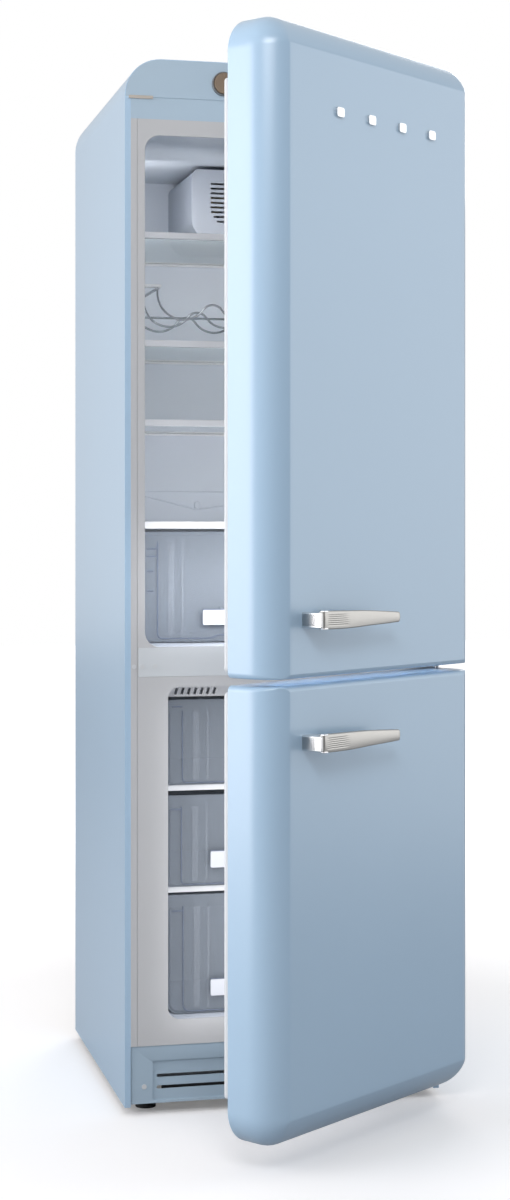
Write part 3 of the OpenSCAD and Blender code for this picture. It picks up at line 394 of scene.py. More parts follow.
class Palette:
    """The finishes of this refrigerator."""

    # Painted shade: the body paint darkens towards the floor (0.93 at the floor).
    body = Finish(
        "pastel blue gloss paint", "body_paint", (0.42, 0.59, 0.77), rough=0.3, floor_shade=0.93, drift=0.012, grain=900,
        bump=0.000008, coat=0.8, uneven=0.006
    )
    # Painted shade: the front sheet darkens towards the floor (0.9 at the floor).
    front = Finish(
        "pastel blue front sheet", "panel_paint", (0.41, 0.53, 0.64), rough=0.38, floor_shade=0.9, drift=0.02, grain=900,
        bump=0.00001, coat=0.2, uneven=0.01
    )
    frame = Finish(
        "grey front frame", "frame_plastic", (0.52, 0.525, 0.54), rough=0.5, drift=0.04, grain=1500, bump=0.00002
    )
    plug = Finish(
        "screw plug plastic", "white_plastic", (0.60, 0.62, 0.64), rough=0.4, drift=0.03, grain=1500, bump=0.00001
    )
    rail = Finish(
        "pale grey rail plate", "frame_plastic", (0.60, 0.63, 0.66), rough=0.45, drift=0.04, grain=1500, bump=0.00002
    )
    liner = Finish(
        "pale liner plastic", "liner_plastic", (0.66, 0.70, 0.77), rough=0.38, drift=0.05, grain=1100, bump=0.00002
    )
    housing = Finish(
        "fan housing plastic", "liner_plastic", (0.44, 0.47, 0.53), rough=0.4, drift=0.05, grain=1100, bump=0.00002
    )
    wire = Finish(
        "chromed wire", "chrome", (0.50, 0.51, 0.53), rough=0.16, metallic=1.0, drift=0.05, grain=300, bump=0.000002
    )
    trim = Finish(
        "shelf edge plastic", "white_plastic", (0.84, 0.84, 0.86), rough=0.35, drift=0.03, grain=1200, bump=0.000015
    )
    white = Finish(
        "white moulded plastic", "white_plastic", (0.80, 0.81, 0.83), rough=0.35, drift=0.03, grain=1200,
        bump=0.000015
    )
    pad = Finish(
        "pale label pad", "white_plastic", (0.72, 0.74, 0.80), rough=0.45, drift=0.03, grain=1500, bump=0.00001
    )
    beige = Finish("warm grey clip plastic", "beige_plastic", (0.50, 0.45, 0.40), rough=0.5, drift=0.06)
    foam = Finish("insulation foam", "foam", (0.78, 0.68, 0.42), rough=0.95, drift=0.15, grain=260, bump=0.0006)
    steel = BrushedMetal(
        "zinc plated steel", "steel", (0.50, 0.51, 0.53), rough=0.38, grain=30, bump=0.00001,
        stretch=(1.0, 1.0, 30.0)
    )
    back = DustyMetal(
        "coated back sheet", "steel", (0.34, 0.36, 0.38), rough=0.5, metallic=0.6, grain=500, bump=0.00002, dust=0.2
    )
    chrome = Finish(
        "polished chrome", "chrome", (0.74, 0.74, 0.745), rough=0.24, metallic=1.0, drift=0.03, grain=200,
        bump=0.000002
    )
    lever = BrushedMetal(
        "satin chrome lever", "chrome", (0.47, 0.455, 0.435), rough=0.34, grain=26, bump=0.000006,
        stretch=(1.5, 1.5, 60.0)
    )
    black = DustyMetal(
        "black coated steel", "black_steel", (0.025, 0.026, 0.028), rough=0.42, dust=0.35, grain=700, bump=0.00003
    )
    dark = Finish(
        "dark grey plastic", "dark_plastic", (0.055, 0.055, 0.06), rough=0.55, drift=0.08, grain=900, bump=0.00004
    )
    rim = Finish("smoked rim plastic", "dark_plastic", (0.16, 0.17, 0.18), rough=0.35, drift=0.06)
    dial = BrushedMetal(
        "bronze dial face", "dial_plastic", (0.24, 0.18, 0.13), rough=0.35, metallic=0.35, grain=60, bump=0.000004,
        stretch=(40.0, 1.0, 1.0)
    )
    rubber = Finish("black rubber", "rubber", (0.02, 0.02, 0.022), rough=0.8, drift=0.1, grain=700, bump=0.00006)
    gasket = Finish(
        "pale gasket rubber", "gasket_rubber", (0.74, 0.76, 0.79), rough=0.62, drift=0.04, grain=900, bump=0.00003
    )
    glass = ClearGlass("shelf glass", "glass", (0.86, 0.94, 0.93), rough=0.02, drift=0.01, bump=0.0)
    clear = ClearPlastic(
        "smoky drawer plastic", "clear_plastic", (0.40, 0.45, 0.52), rough=0.16, drift=0.06, grain=60, bump=0.0001,
        see=0.66, rim=0.95
    )
    clear_bin = ClearPlastic(
        "clear bin plastic", "clear_plastic", (0.60, 0.68, 0.76), rough=0.12, drift=0.04, grain=60, bump=0.00006,
        see=0.65, rim=0.9
    )
    bead = Finish(
        "tinted moulding edge", "clear_plastic", (0.17, 0.20, 0.27), rough=0.25, drift=0.1, grain=300, bump=0.00001
    )
    streak = ClearPlastic(
        "light moulding rib", "clear_plastic", (0.55, 0.60, 0.67), rough=0.25, drift=0.04, see=0.86, rim=0.3
    )


# ---------------------------------------------------------------- shapes


def make_object(
    name: str, points: np.ndarray, faces: list | np.ndarray, finish: Finish, body: Body, smooth: float = 50.0
) -> bpy.types.Object:
    """Makes a piece from points and faces, finishes it and lets it ride on a body.

    Args:
        name: the piece's name.
        points: an (n, 3) array in metres.
        faces: index rows, or a list of them where their lengths differ.
        finish: the piece's finish.
        body: the body it rides on.
        smooth: edges sharper than this many degrees stay crisp.

    Returns:
        The new object.
    """
    mesh = bpy.data.meshes.new(name)
    mesh.from_pydata(np.asarray(points, float).tolist(), [], [list(map(int, f)) for f in faces])
    bm = bmesh.new()
    bm.from_mesh(mesh)
    bmesh.ops.remove_doubles(bm, verts=bm.verts, dist=1e-6)
    bmesh.ops.recalc_face_normals(bm, faces=bm.faces)
    bm.to_mesh(mesh)
    bm.free()
    mesh.shade_smooth()
    mesh.set_sharp_from_angle(angle=math.radians(smooth))
    mesh.materials.append(finish.build())
    piece = bpy.data.objects.new(name, mesh)
    bpy.context.scene.collection.objects.link(piece)
    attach(piece, body.value)
    return piece


def grid_faces(rows: int, cols: int, close_rows: bool = False, close_cols: bool = False) -> np.ndarray:
    """Quads of a rows by cols grid of points, closed round either way if asked.

    Args:
        rows: points down the grid.
        cols: points across the grid.
        close_rows: join the last row to the first.
        close_cols: join the last column to the first.

    Returns:
        An (n, 4) array of point indices.
    """
    r = np.arange(rows if close_rows else rows - 1)[:, None]
    c = np.arange(cols if close_cols else cols - 1)[None, :]
    r1, c1 = (r + 1) % rows, (c + 1) % cols
    quads = np.stack(np.broadcast_arrays(r * cols + c, r * cols + c1, r1 * cols + c1, r1 * cols + c), axis=-1)
    return quads.reshape(-1, 4)


def round_rect(x0: float, z0: float, x1: float, z1: float, top: float, low: float, steps: int = 8) -> np.ndarray:
    """Outline of a rectangle with rounded corners.

    Each corner is a quarter circle: centre plus radius times (cos a, sin a), with a
    going round the four quarters in turn.

    Args:
        x0, z0, x1, z1: the rectangle's sides.
        top: radius of the upper corners.
        low: radius of the lower corners.
        steps: segments on each corner.

    Returns:
        An (n, 2) array of points.
    """
    a = np.linspace(0.0, math.pi / 2, steps + 1)
    corners = (
        (x1 - top, z1 - top, top), (x0 + top, z1 - top, top), (x0 + low, z0 + low, low), (x1 - low, z0 + low, low)
    )
    rows = []
    for k, (cx, cz, r) in enumerate(corners):
        rows.append(np.stack([cx + r * np.cos(a + k * math.pi / 2), cz + r * np.sin(a + k * math.pi / 2)], axis=1))
    return np.concatenate(rows)


def stack_rings(rings: list[np.ndarray], caps: tuple[bool, bool] = (True, True)) -> tuple[np.ndarray, list]:
    """Joins closed outlines of equal length into a skin.

    Args:
        rings: (n, 3) arrays, from the back to the front.
        caps: whether the first and the last ring are closed with a face.

    Returns:
        The points and the faces.
    """
    n = len(rings[0])
    faces = [list(f) for f in grid_faces(len(rings), n, close_cols=True)]
    if caps[0]:
        faces.append(list(range(n))[::-1])
    if caps[1]:
        faces.append([(len(rings) - 1) * n + i for i in range(n)])
    return np.concatenate(rings), faces


def plate_rings(
    x0: float, z0: float, x1: float, z1: float, y_back: float, y_front: float, radius: float, edge: float,
    steps: int = 6
) -> list[np.ndarray]:
    """Rings of an upright plate with rounded corners and a rolled front edge.

    The edge rolls as a quarter circle: inset edge times (1 - cos a), depth edge times
    sin a.

    Args:
        x0, z0, x1, z1: the plate's sides.
        y_back: depth of its back.
        y_front: depth of its front.
        radius: corner radius.
        edge: radius of the rolled edge.
        steps: segments on each corner.

    Returns:
        Rings from back to front.
    """
    sign = -1.0 if y_front < y_back else 1.0
    rings = [(0.0, y_back)]
    for a in np.linspace(0.0, math.pi / 2, 5):
        rings.append((edge * (1 - math.cos(a)), y_front - sign * edge * (1 - math.sin(a))))
    out = []
    for inset, y in rings:
        r = max(radius - inset, 0.0002)
        ring = round_rect(x0 + inset, z0 + inset, x1 - inset, z1 - inset, r, r, steps)
        out.append(np.insert(ring, 1, y, axis=1))
    return out


def plate(*sizes: float) -> tuple[np.ndarray, list]:
    """Points and faces of a plate; the sizes are those of plate_rings."""
    return stack_rings(plate_rings(*sizes))


def tube(path: np.ndarray, radius: float, sides: int = 10) -> tuple[np.ndarray, list]:
    """A round bar along a path.

    At each point a circle of the radius stands square to the path; its two axes are
    carried along from the first point so that the bar doesn't twist.

    Args:
        path: an (n, 3) array of points.
        radius: the bar's radius.
        sides: points round the bar.

    Returns:
        The points and the faces, with both ends closed.
    """
    tangent = np.gradient(path, axis=0)
    tangent /= np.linalg.norm(tangent, axis=1, keepdims=True)
    guide = np.array([0.0, 1.0, 0.0]) if abs(tangent[0, 1]) < 0.8 else np.array([0.0, 0.0, 1.0])
    normal = np.cross(tangent, guide)
    flat = np.linalg.norm(normal, axis=1, keepdims=True)
    normal = normal / np.maximum(flat, 1e-9)
    side = np.cross(tangent, normal)
    a = np.arange(sides) * 2 * math.pi / sides
    c, s = np.cos(a)[None, :, None], np.sin(a)[None, :, None]
    points = path[:, None, :] + radius * (c * normal[:, None, :] + s * side[:, None, :])
    faces = [list(f) for f in grid_faces(len(path), sides, close_cols=True)]
    faces.append(list(range(sides))[::-1])
    faces.append([(len(path) - 1) * sides + i for i in range(sides)])
    return points.reshape(-1, 3), faces


def arc_points(cx: float, cz: float, radius: float, start: float, end: float, steps: int) -> np.ndarray:
    """Points of a circular arc in degrees: centre plus radius times (cos, sin)."""
    a = np.radians(np.linspace(start, end, steps + 1))
    return np.stack([cx + radius * np.cos(a), cz + radius * np.sin(a)], axis=1)


def softened(node: str, radius: float, finish: Finish, body: Body, segments: int = 2) -> bpy.types.Object:
    """A copy of a frame node with its edges rounded, which then stands for it.

    Args:
        node: the frame node.
        radius: radius of the rounded edges.
        finish: its finish.
        body: the body it rides on.
        segments: segments across a rounded edge.

    Returns:
        The new object.
    """
    source = FRAME["nodes"][node].data
    mesh = source.copy()
    mesh.name = f"{node}_soft"
    mesh.materials.clear()
    bm = bmesh.new()
    bm.from_mesh(mesh)
    bmesh.ops.remove_doubles(bm, verts=bm.verts, dist=MERGE)
    bmesh.ops.dissolve_limit(bm, angle_limit=math.radians(1.5), verts=bm.verts, edges=bm.edges)
    bm.to_mesh(mesh)
    bm.free()
    mesh.shade_smooth()
    mesh.set_sharp_from_angle(angle=math.radians(35.0))
    mesh.materials.append(finish.build())
    piece = bpy.data.objects.new(f"{node}_soft", mesh)
    bpy.context.scene.collection.objects.link(piece)
    bevel = piece.modifiers.new("rounded edges", "BEVEL")
    bevel.width = radius
    bevel.segments = segments
    bevel.limit_method = "ANGLE"
    bevel.angle_limit = math.radians(35.0)
    bevel.harden_normals = False
    bevel.use_clamp_overlap = True
    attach(piece, body.value)
    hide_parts(node)
    LOG.info("softened %s", node)
    return piece


# ---------------------------------------------------------------- door hinge


@dataclass
class DoorHinge:
    """Where a door turns, and how far it stands open at rest.

    Args:
        joint: name of the hinge joint.
    """

    joint: str
    pivot: tuple[float, float] = field(init=False)
    angle: float = field(init=False)

    def __post_init__(self) -> None:
        """Reads the axis and the angle from the joint."""
        found = next(j for j in FRAME["joints"] if j["name"] == self.joint)
        self.pivot = (found["pos_m"][0], found["pos_m"][1])
        self.angle = math.radians(-found["range_deg"][0])

    def _turn(self, points: np.ndarray, angle: float) -> np.ndarray:
        """Turns points about the upright axis through the pivot."""
        c, s = math.cos(angle), math.sin(angle)
        out = np.array(points, float)
        x, y = out[..., 0] - self.pivot[0], out[..., 1] - self.pivot[1]
        out[..., 0] = self.pivot[0] + x * c - y * s
        out[..., 1] = self.pivot[1] + x * s + y * c
        return out

    def ajar(self, points: np.ndarray) -> np.ndarray:
        """Moves points of the closed door to where it stands at rest."""
        return self._turn(points, self.angle)

    def closed_box(self, node: str) -> tuple[np.ndarray, np.ndarray]:
        """Lowest and highest corner of a node with its door closed."""
        mesh = FRAME["nodes"][node].data
        co = np.empty(len(mesh.vertices) * 3, np.float32)
        mesh.vertices.foreach_get("co", co)
        shut = self._turn(co.reshape(-1, 3).astype(float), -self.angle)
        return shut.min(axis=0), shut.max(axis=0)


# ---------------------------------------------------------------- doors


@dataclass
class PillowDoor:
    """A door with a rolled edge round a flat front panel.

    Args:
        prefix: start of its nodes' names.
        body: the body it is.
        end: which end carries the large corners.
        straight: depth of the edge before it starts to roll.
        side_inset: inset of the front panel at the sides.
        end_inset: inset of the front panel at the rounded end.
        corner: radius of the large corners.
        split: radius of the edge at the gap between the doors.
        steepest: angle at which the rolled edge meets the panel, in degrees.
    """

    prefix: str
    body: Body
    end: RoundEnd
    straight: float = 0.036
    side_inset: float = 0.044
    end_inset: float = 0.052
    corner: float = 0.062
    split: float = 0.010
    steepest: float = 65.0
    hinge: DoorHinge = field(init=False)

    def __post_init__(self) -> None:
        """Finds the hinge and the closed box of the skin."""
        self.hinge = DoorHinge(f"{self.prefix}_hinge")
        self.low, self.high = self.hinge.closed_box(f"{self.prefix}_skin")

    def _ring(self, share: float, y: float, cut: float) -> np.ndarray:
        """Outline of one depth of the skin.

        The sides move in by share of the inset, and the large corners shrink with it,
        so that each outline is a smaller rounded rectangle.
        """
        x0, x1 = self.low[0] + self.side_inset * share, self.high[0] - self.side_inset * share
        inner = self.end_inset * share
        big, small = max(self.corner * (1 - share), 0.0016), max(self.split * (1 - share), 0.0016)
        if self.end is RoundEnd.TOP:
            ring = round_rect(x0, self.low[2] + cut, x1, self.high[2] - inner, big, small, 14)
        else:
            ring = round_rect(x0, self.low[2] + inner, x1, self.high[2] - cut, small, big, 14)
        return np.insert(ring, 1, y, axis=1)

    def build_skin(self) -> bpy.types.Object:
        """Builds the painted skin.

        The edge follows a circle from straight ahead to its steepest angle a: inset
        (1 - cos a), depth sin a, both scaled to end at the panel, then a small fillet
        turns into the panel.
        """
        back, front = self.high[1], self.low[1]
        rise = (back - self.straight) - front
        top = math.radians(self.steepest)
        steps = np.concatenate([[0.0], np.linspace(0.0, top, 22)])
        rings = []
        for k, a in enumerate(steps):
            y = back if k == 0 else back - self.straight - rise * math.sin(a) / math.sin(top)
            share = (1 - math.cos(a)) / (1 - math.cos(top))
            q = max(0.0, (self.split - (y - front)) / self.split)
            rings.append(self._ring(share, y, self.split * (1 - math.sqrt(1 - 0.96 * q * q))))
        rings.append(self._ring(1.012, front - 0.0001, self.split * 0.8))
        for inset in (0.03, 0.2, 0.5):
            rings.append(self._inner(inset, front - 0.0001))
        lip = self._ring(0.0, back, 0.0)
        for inset, y in ((0.0012, back + 0.0003), (0.004, back - 0.001), (0.004, back - 0.012)):
            shrunk = lip.copy()
            centre = (self.low + self.high) / 2
            shrunk[:, 0] = centre[0] + (lip[:, 0] - centre[0]) * (1 - inset / (self.high[0] - centre[0]))
            shrunk[:, 2] = centre[2] + (lip[:, 2] - centre[2]) * (1 - inset / (self.high[2] - centre[2]))
            shrunk[:, 1] = y
            rings.insert(0, shrunk)
        points, faces = stack_rings(rings, (False, True))
        skin = make_object(f"{self.prefix}_panel", self.hinge.ajar(points), faces, Palette.body, self.body, 24.0)
        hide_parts(f"{self.prefix}_skin")
        return skin

    def _inner(self, inset: float, y: float) -> np.ndarray:
        """Outline on the flat panel, a share of the way to its middle."""
        ring = self._ring(1.012, y, self.split * 0.8)
        middle = (ring.max(axis=0) + ring.min(axis=0)) / 2
        half = (ring.max(axis=0) - ring.min(axis=0)) / 2
        out = ring.copy()
        out[:, 0] = middle[0] + (ring[:, 0] - middle[0]) * (1 - inset)
        out[:, 2] = middle[2] + (ring[:, 2] - middle[2]) * (1 - inset * half[0] / half[2])
        return out

    def build_gasket(self) -> bpy.types.Object:
        """Builds the magnetic gasket: a bellows profile carried round a rounded frame."""
        node = f"{self.prefix}_gasket"
        low, high = self.hinge.closed_box(node)
        depth = high[1] - low[1]
        profile = np.array([
            (0.0, 0.0), (0.0, 0.22), (0.0018, 0.34), (0.0018, 0.46), (0.0, 0.58), (0.0, 0.86), (0.0022, 1.0),
            (0.0085, 1.0), (0.0105, 0.86), (0.0105, 0.7), (0.0090, 0.6), (
                0.0100, 0.5
            ), (0.0150, 0.42), (0.0158, 0.3), (0.0158, 0.0),
        ])
        rings = []
        for inset, share in profile:
            r = max(0.008 - inset, 0.0015)
            ring = round_rect(low[0] + inset, low[2] + inset, high[0] - inset, high[2] - inset, r, r, 5)
            rings.append(np.insert(ring, 1, low[1] + depth * share, axis=1))
        points = np.concatenate(rings)
        faces = grid_faces(len(rings), len(rings[0]), close_rows=True, close_cols=True)
        piece = make_object(f"{self.prefix}_seal", self.hinge.ajar(points), faces, Palette.gasket, self.body, 60.0)
        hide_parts(node)
        return piece

    def build(self) -> None:
        """Builds the skin and the gasket."""
        self.build_skin()
        self.build_gasket()
        LOG.info("%s: skin and gasket", self.prefix)


@dataclass
class LeverHandle:
    """A tapered lever on a chrome block.

    Args:
        prefix: start of its nodes' names.
        door: the door that carries it.
        fall: how far the upper edge comes down to the tip.
        lift: how far the lower edge comes up to the tip.
        ribs: number of fine grooves near the block.
        cap: width of the block's face beside the lever.
    """

    prefix: str
    door: PillowDoor
    fall: float = 0.0083
    lift: float = 0.0050
    ribs: int = 6
    cap: float = 0.0052

    def put(
        self, name: str, shape: tuple[np.ndarray, list], finish: Finish, smooth: float = 50.0
    ) -> bpy.types.Object:
        """Makes a piece, drawn on the closed door, that rides on the door."""
        points, faces = shape
        name = f"{self.prefix}_handle_{name}"
        return make_object(name, self.door.hinge.ajar(points), faces, finish, self.door.body, smooth)

    def build_lever(self) -> bpy.types.Object:
        """Builds the lever.

        Along the length s its upper edge is flat and then eases down, and its lower
        edge eases up with s squared; across it the face is slightly crowned and cut by
        grooves that fade out with s.
        """
        node = f"{self.prefix}_handle_lever"
        low, high = self.door.hinge.closed_box(node)
        low[0] += self.cap
        length, mid = high[0] - low[0], (high[2] + low[2]) / 2
        half = (high[2] - low[2]) / 2
        near, along, far = np.linspace(0.0, 0.02, 4)[1:], np.linspace(0.03, 0.97, 60), np.linspace(0.975, 1.0, 5)
        s = np.concatenate([[0.0], near, along, far])
        belly = np.sin(math.pi * np.clip(s / 0.6, 0, 1))
        up = half - self.fall * (0.55 * s + 0.45 * np.clip((s - 0.5) / 0.5, 0, 1) ** 1.4)
        down = -half + 0.0012 + self.lift * s ** 2 - 0.0012 * belly
        start = np.clip(s / 0.02, 0, 1)
        up = up - 0.0025 * (1 - np.sqrt(1 - (1 - start) ** 2))
        down = down + 0.0025 * (1 - np.sqrt(1 - (1 - start) ** 2))
        finish_end = np.clip((1 - s) / 0.018, 0, 1)
        pinch = 0.002 * (1 - np.sqrt(1 - (1 - finish_end) ** 2))
        up, down = up - pinch, down + pinch
        t = np.linspace(-1, 1, 73)
        edge = 0.0022
        width = (up - down) / 2
        z = (up + down)[:, None] / 2 + width[:, None] * t[None, :]
        away = np.clip((np.abs(t)[None, :] * width[:, None] - (width[:, None] - edge)) / edge, 0, 1)
        roll = edge * (1 - np.sqrt(np.clip(1 - away ** 2, 0, 1)))
        crown = 0.0014 * t[None, :] ** 2
        fade = np.clip((s - 0.055) / 0.01, 0, 1) * np.clip((0.33 - s) / 0.06, 0, 1)
        inside = (np.abs(z) < half * 0.62).astype(float)
        turns = (z / half + 0.62) / 1.24 * self.ribs
        groove = 0.0006 * (0.5 - 0.5 * np.cos(2 * math.pi * turns)) * fade[:, None] * inside
        ends = 0.003 * (1 - np.sqrt(np.clip(1 - (1 - np.minimum(start, finish_end)) ** 2, 0, 1)))
        front = low[1] + roll + crown + groove + ends[:, None]
        back = np.full_like(front, high[1]) - np.minimum(roll * 0.5, 0.001)
        x = low[0] + length * s
        face = np.stack([np.broadcast_to(x[:, None], z.shape), front, mid + z], axis=-1)
        rear = np.stack([np.broadcast_to(x[:, None], z.shape), back, mid + z], axis=-1)[:, ::-1]
        section = np.concatenate([face, rear], axis=1)
        piece = self.put("lever_blade", stack_rings(list(section)), Palette.lever, 40.0)
        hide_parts(node)
        return piece

    def build_block(self) -> bpy.types.Object:
        """Builds the polished block, its face flush with the lever's broad end."""
        node = f"{self.prefix}_handle_block"
        low, high = self.door.hinge.closed_box(node)
        blade_low, _ = self.door.hinge.closed_box(f"{self.prefix}_handle_lever")
        sides = (blade_low[0], low[2], blade_low[0] + self.cap - 0.0007, high[2])
        cap = plate(*sides, high[1] + 0.0004, blade_low[1] + 0.0003, 0.0022, 0.0016, 6)
        self.put("block_end_cap", cap, Palette.chrome, 40.0)
        rings = []
        for inset, y in ((0.0015, high[1] + 0.0004), (0.0, high[1] - 0.0008), (0.0, low[1] + 0.003)):
            ring = round_rect(low[0] + inset, low[2] + inset, high[0] - inset, high[2] - inset, 0.003, 0.003, 5)
            rings.append(np.insert(ring, 1, y, axis=1))
        for a in np.linspace(0.15, 1.0, 4):
            inset = 0.0018 * (1 - math.cos(a * math.pi / 2))
            ring = round_rect(
                low[0] + inset, low[2] + inset, high[0] - inset, high[2] - inset, 0.003 - inset, 0.003 - inset, 5
            )
            rings.append(np.insert(ring, 1, low[1] + 0.003 * (1 - math.sin(a * math.pi / 2)), axis=1))
        piece = self.put("block_polished", stack_rings(rings), Palette.chrome, 40.0)
        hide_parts(node)
        return piece

    def build_clips(self) -> None:
        """Builds the two small clips that hold the lever's face, above and below, each with a small dark block at its
        end that paints the shade of the gap there.
        """
        low, high = self.door.hinge.closed_box(f"{self.prefix}_handle_lever")
        for name, z in (("upper", high[2] - 0.0024), ("lower", low[2] + 0.0010)):
            x, y = low[0] + 0.0165, low[1] + 0.007
            clip = plate(low[0] + 0.0055, z, x, z + 0.0026, y, low[1] - 0.0008, 0.0011, 0.0006, 4)
            self.put(f"clip_{name}", clip, Palette.chrome)
            # A small dark block past the clip's end: painted shade of the gap.
            gap = plate(x, z + 0.0002, low[0] + 0.0182, z + 0.0024, y, low[1] + 0.0006, 0.0007, 0.0004, 4)
            self.put(f"clip_gap_{name}", gap, Palette.dark)

    def build(self) -> None:
        """Builds the lever, the block and the clips."""
        self.build_lever()
        self.build_block()
        self.build_clips()
        LOG.info("%s handle", self.prefix)


# ---------------------------------------------------------------- inside


@dataclass
class BottleRack:
    """Wire rack with waved bars between two end bars, hung on side clips.

    Args:
        pitch: distance between cradles.
        rise: height of a crest over a trough.
        end_radius: radius of the outer quarter bends.
        end_straight: straight length above them.
        wire: radius of the waved bars.
        bar: radius of the end bars.
        bends: share of the wave taken by the cradle's curve.
    """

    pitch: float = 0.113
    rise: float = 0.029
    end_radius: float = 0.050
    end_straight: float = 0.006
    wire: float = 0.0021
    bar: float = 0.0029
    bends: float = 0.68

    def wave(self, trough: float) -> np.ndarray:
        """Path of one waved bar: cradle arcs and crest arcs that meet at the same slope."""
        a = 2 * math.degrees(math.atan(self.rise / (self.pitch / 2)))
        total = self.pitch / 2 / math.sin(math.radians(a))
        r, c = total * self.bends, total * (1 - self.bends)
        reach, top = 1.5 * self.pitch + self.end_radius, trough + self.end_radius + self.end_straight
        parts = [
            np.array([[-reach, top]]),
            arc_points(-1.5 * self.pitch, trough + self.end_radius, self.end_radius, 180, 270, 16)
        ]
        for k in (-1, 0, 1):
            parts.append(arc_points((k - 0.5) * self.pitch, trough + r, r, 270, 270 + a, 9)[1:])
            parts.append(arc_points(k * self.pitch, trough + self.rise - c, c, 90 + a, 90 - a, 14)[1:])
            parts.append(arc_points((k + 0.5) * self.pitch, trough + r, r, 270 - a, 270, 9)[1:])
        parts.append(arc_points(1.5 * self.pitch, trough + self.end_radius, self.end_radius, 270, 360, 16)[1:])
        parts.append(np.array([[reach, top]]))
        return np.concatenate(parts)

    def build(self) -> None:
        """Builds the rack and its clips."""
        low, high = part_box("wine_rack")
        trough = low.z + 0.002
        half = 1.5 * self.pitch + self.end_radius
        level = trough + self.end_radius + self.end_straight + 0.0015
        y0, y1 = low.y + 0.004, high.y - 0.004
        points, faces = [], []

        def put(shape: tuple[np.ndarray, list]) -> None:
            """Adds one bar to the rack's mesh."""
            start = sum(len(p) for p in points)
            points.append(shape[0])
            faces.extend([[i + start for i in f] for f in shape[1]])

        wave = self.wave(trough)
        ys = (y0, y0 + 0.140, y1)
        for y in ys:
            put(tube(np.insert(wave, 1, y, axis=1), self.wire))
        for side in (-1, 1):
            put(tube(np.array([[side * half, y, level] for y in np.linspace(y0 - 0.004, y1 + 0.004, 6)]), self.bar))
        stop = [[x, ys[2] + 0.0035, trough + self.rise - 0.001] for x in np.linspace(-half - 0.030, half + 0.030, 12)]
        put(tube(np.array(stop), 0.0022))
        rack = make_object("bottle_rack", np.concatenate(points), faces, Palette.wire, Body.CABINET, 60.0)
        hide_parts("wine_rack")
        for side, word in ((-1, "left"), (1, "right")):
            for y, place in ((y0 + 0.004, "front"), (y1 - 0.004, "rear")):
                edge = sorted((side * (half - 0.008), side * high.x))
                shape = plate(
                    edge[0], level + 0.0022, edge[1], level + 0.0080, y + 0.006, y - 0.006, 0.0025, 0.001, 5
                )
                make_object(f"rack_clip_{word}_{place}", *shape, Palette.white, Body.CABINET)
        LOG.info("bottle rack")


@dataclass
class DrawerFront:
    """Mouldings on the front of a see-through drawer.

    Args:
        node: the drawer's frame node.
        body: the body it is.
        panel_x: side of the framed panel, from the middle.
        corner: radius of the panel's lower corners.
        pad: sides and heights of the grip pad: half width, low, high.
        step: how far the panel's lower line steps up in the middle.
        step_x: where that step is, from the middle.
        marks: heights of the small catches beside the panel.
        bead: radius of the panel's line.
        panel_low: height of the panel's lower line above the drawer's lower edge.
        panel_high: depth of its upper end below the drawer's upper edge.
        solid_pad: whether the drawer has a grip pad.
    """

    node: str
    body: Body
    panel_x: float
    pad: tuple[float, float, float]
    corner: float = 0.008
    step: float = 0.005
    step_x: float = 0.110
    marks: tuple[float, ...] = ()
    bead: float = 0.0011
    panel_low: float = 0.004
    panel_high: float = 0.02
    solid_pad: bool = True

    def build(self) -> None:
        """Builds the panel line, light ribs, catches and pad."""
        low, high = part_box(self.node)
        face = low.y + 0.010
        y = face - 0.0006
        z0, z1 = low.z + self.panel_low, high.z - self.panel_high
        r = self.corner
        left = [(-self.panel_x, z1)] + [(-self.panel_x, z1 - (z1 - z0 - r) * k / 8) for k in range(1, 9)]
        bend = [tuple(p) for p in arc_points(-self.panel_x + r, z0 + r, r, 180, 270, 6)[1:]]
        flat = []
        for d in np.linspace(-0.02, 0.03, 12):
            eased = 0.5 - 0.5 * math.cos(math.pi * min(max(d / 0.02, 0), 1))
            flat.append((-self.step_x - 0.012 + d, z0 + self.step * eased))
        half = np.array(left + bend + flat)
        mirrored = half[::-1] * np.array([-1.0, 1.0])
        outline = np.concatenate([half, mirrored])
        line = tube(np.insert(outline, 1, y, axis=1), self.bead, 8)
        make_object(f"{self.node}_panel_line", *line, Palette.bead, self.body)
        for k, (x, w) in enumerate(((-self.panel_x + 0.026, 0.006), (-self.panel_x + 0.048, 0.002))):
            for side, word in ((1, "left"), (-1, "right")):
                x0, x1 = sorted((side * (x - w), side * (x + w)))
                shape = plate(x0, z0 + 0.006, x1, z1, face + 0.0002, face - 0.0012, 0.001, 0.0006, 4)
                make_object(f"{self.node}_rib_{word}_{k}", *shape, Palette.streak, self.body)
        for k, z in enumerate(self.marks):
            for side, word in ((1, "left"), (-1, "right")):
                x0, x1 = sorted((side * (-self.panel_x - 0.020), side * (-self.panel_x - (0.0 if k < 2 else 0.008))))
                shape = plate(x0, z, x1, z + 0.0022, face + 0.0002, face - 0.0014, 0.0009, 0.0006, 4)
                make_object(f"{self.node}_catch_{word}_{k}", *shape, Palette.bead, self.body)
        if self.solid_pad:
            half_w, lo, hi = self.pad
            front = low.y - 0.0012
            shape = plate(-half_w, lo, half_w, hi, low.y + 0.0005, front, 0.003, 0.0010, 5)
            make_object(f"{self.node}_pad", *shape, Palette.pad, self.body)
            line = tube(
                np.array([[x, front + 0.001, hi + 0.0014] for x in np.linspace(-half_w, half_w, 8)]), 0.0009, 8
            )
            make_object(f"{self.node}_pad_line", *line, Palette.bead, self.body)
        LOG.info("%s front", self.node)


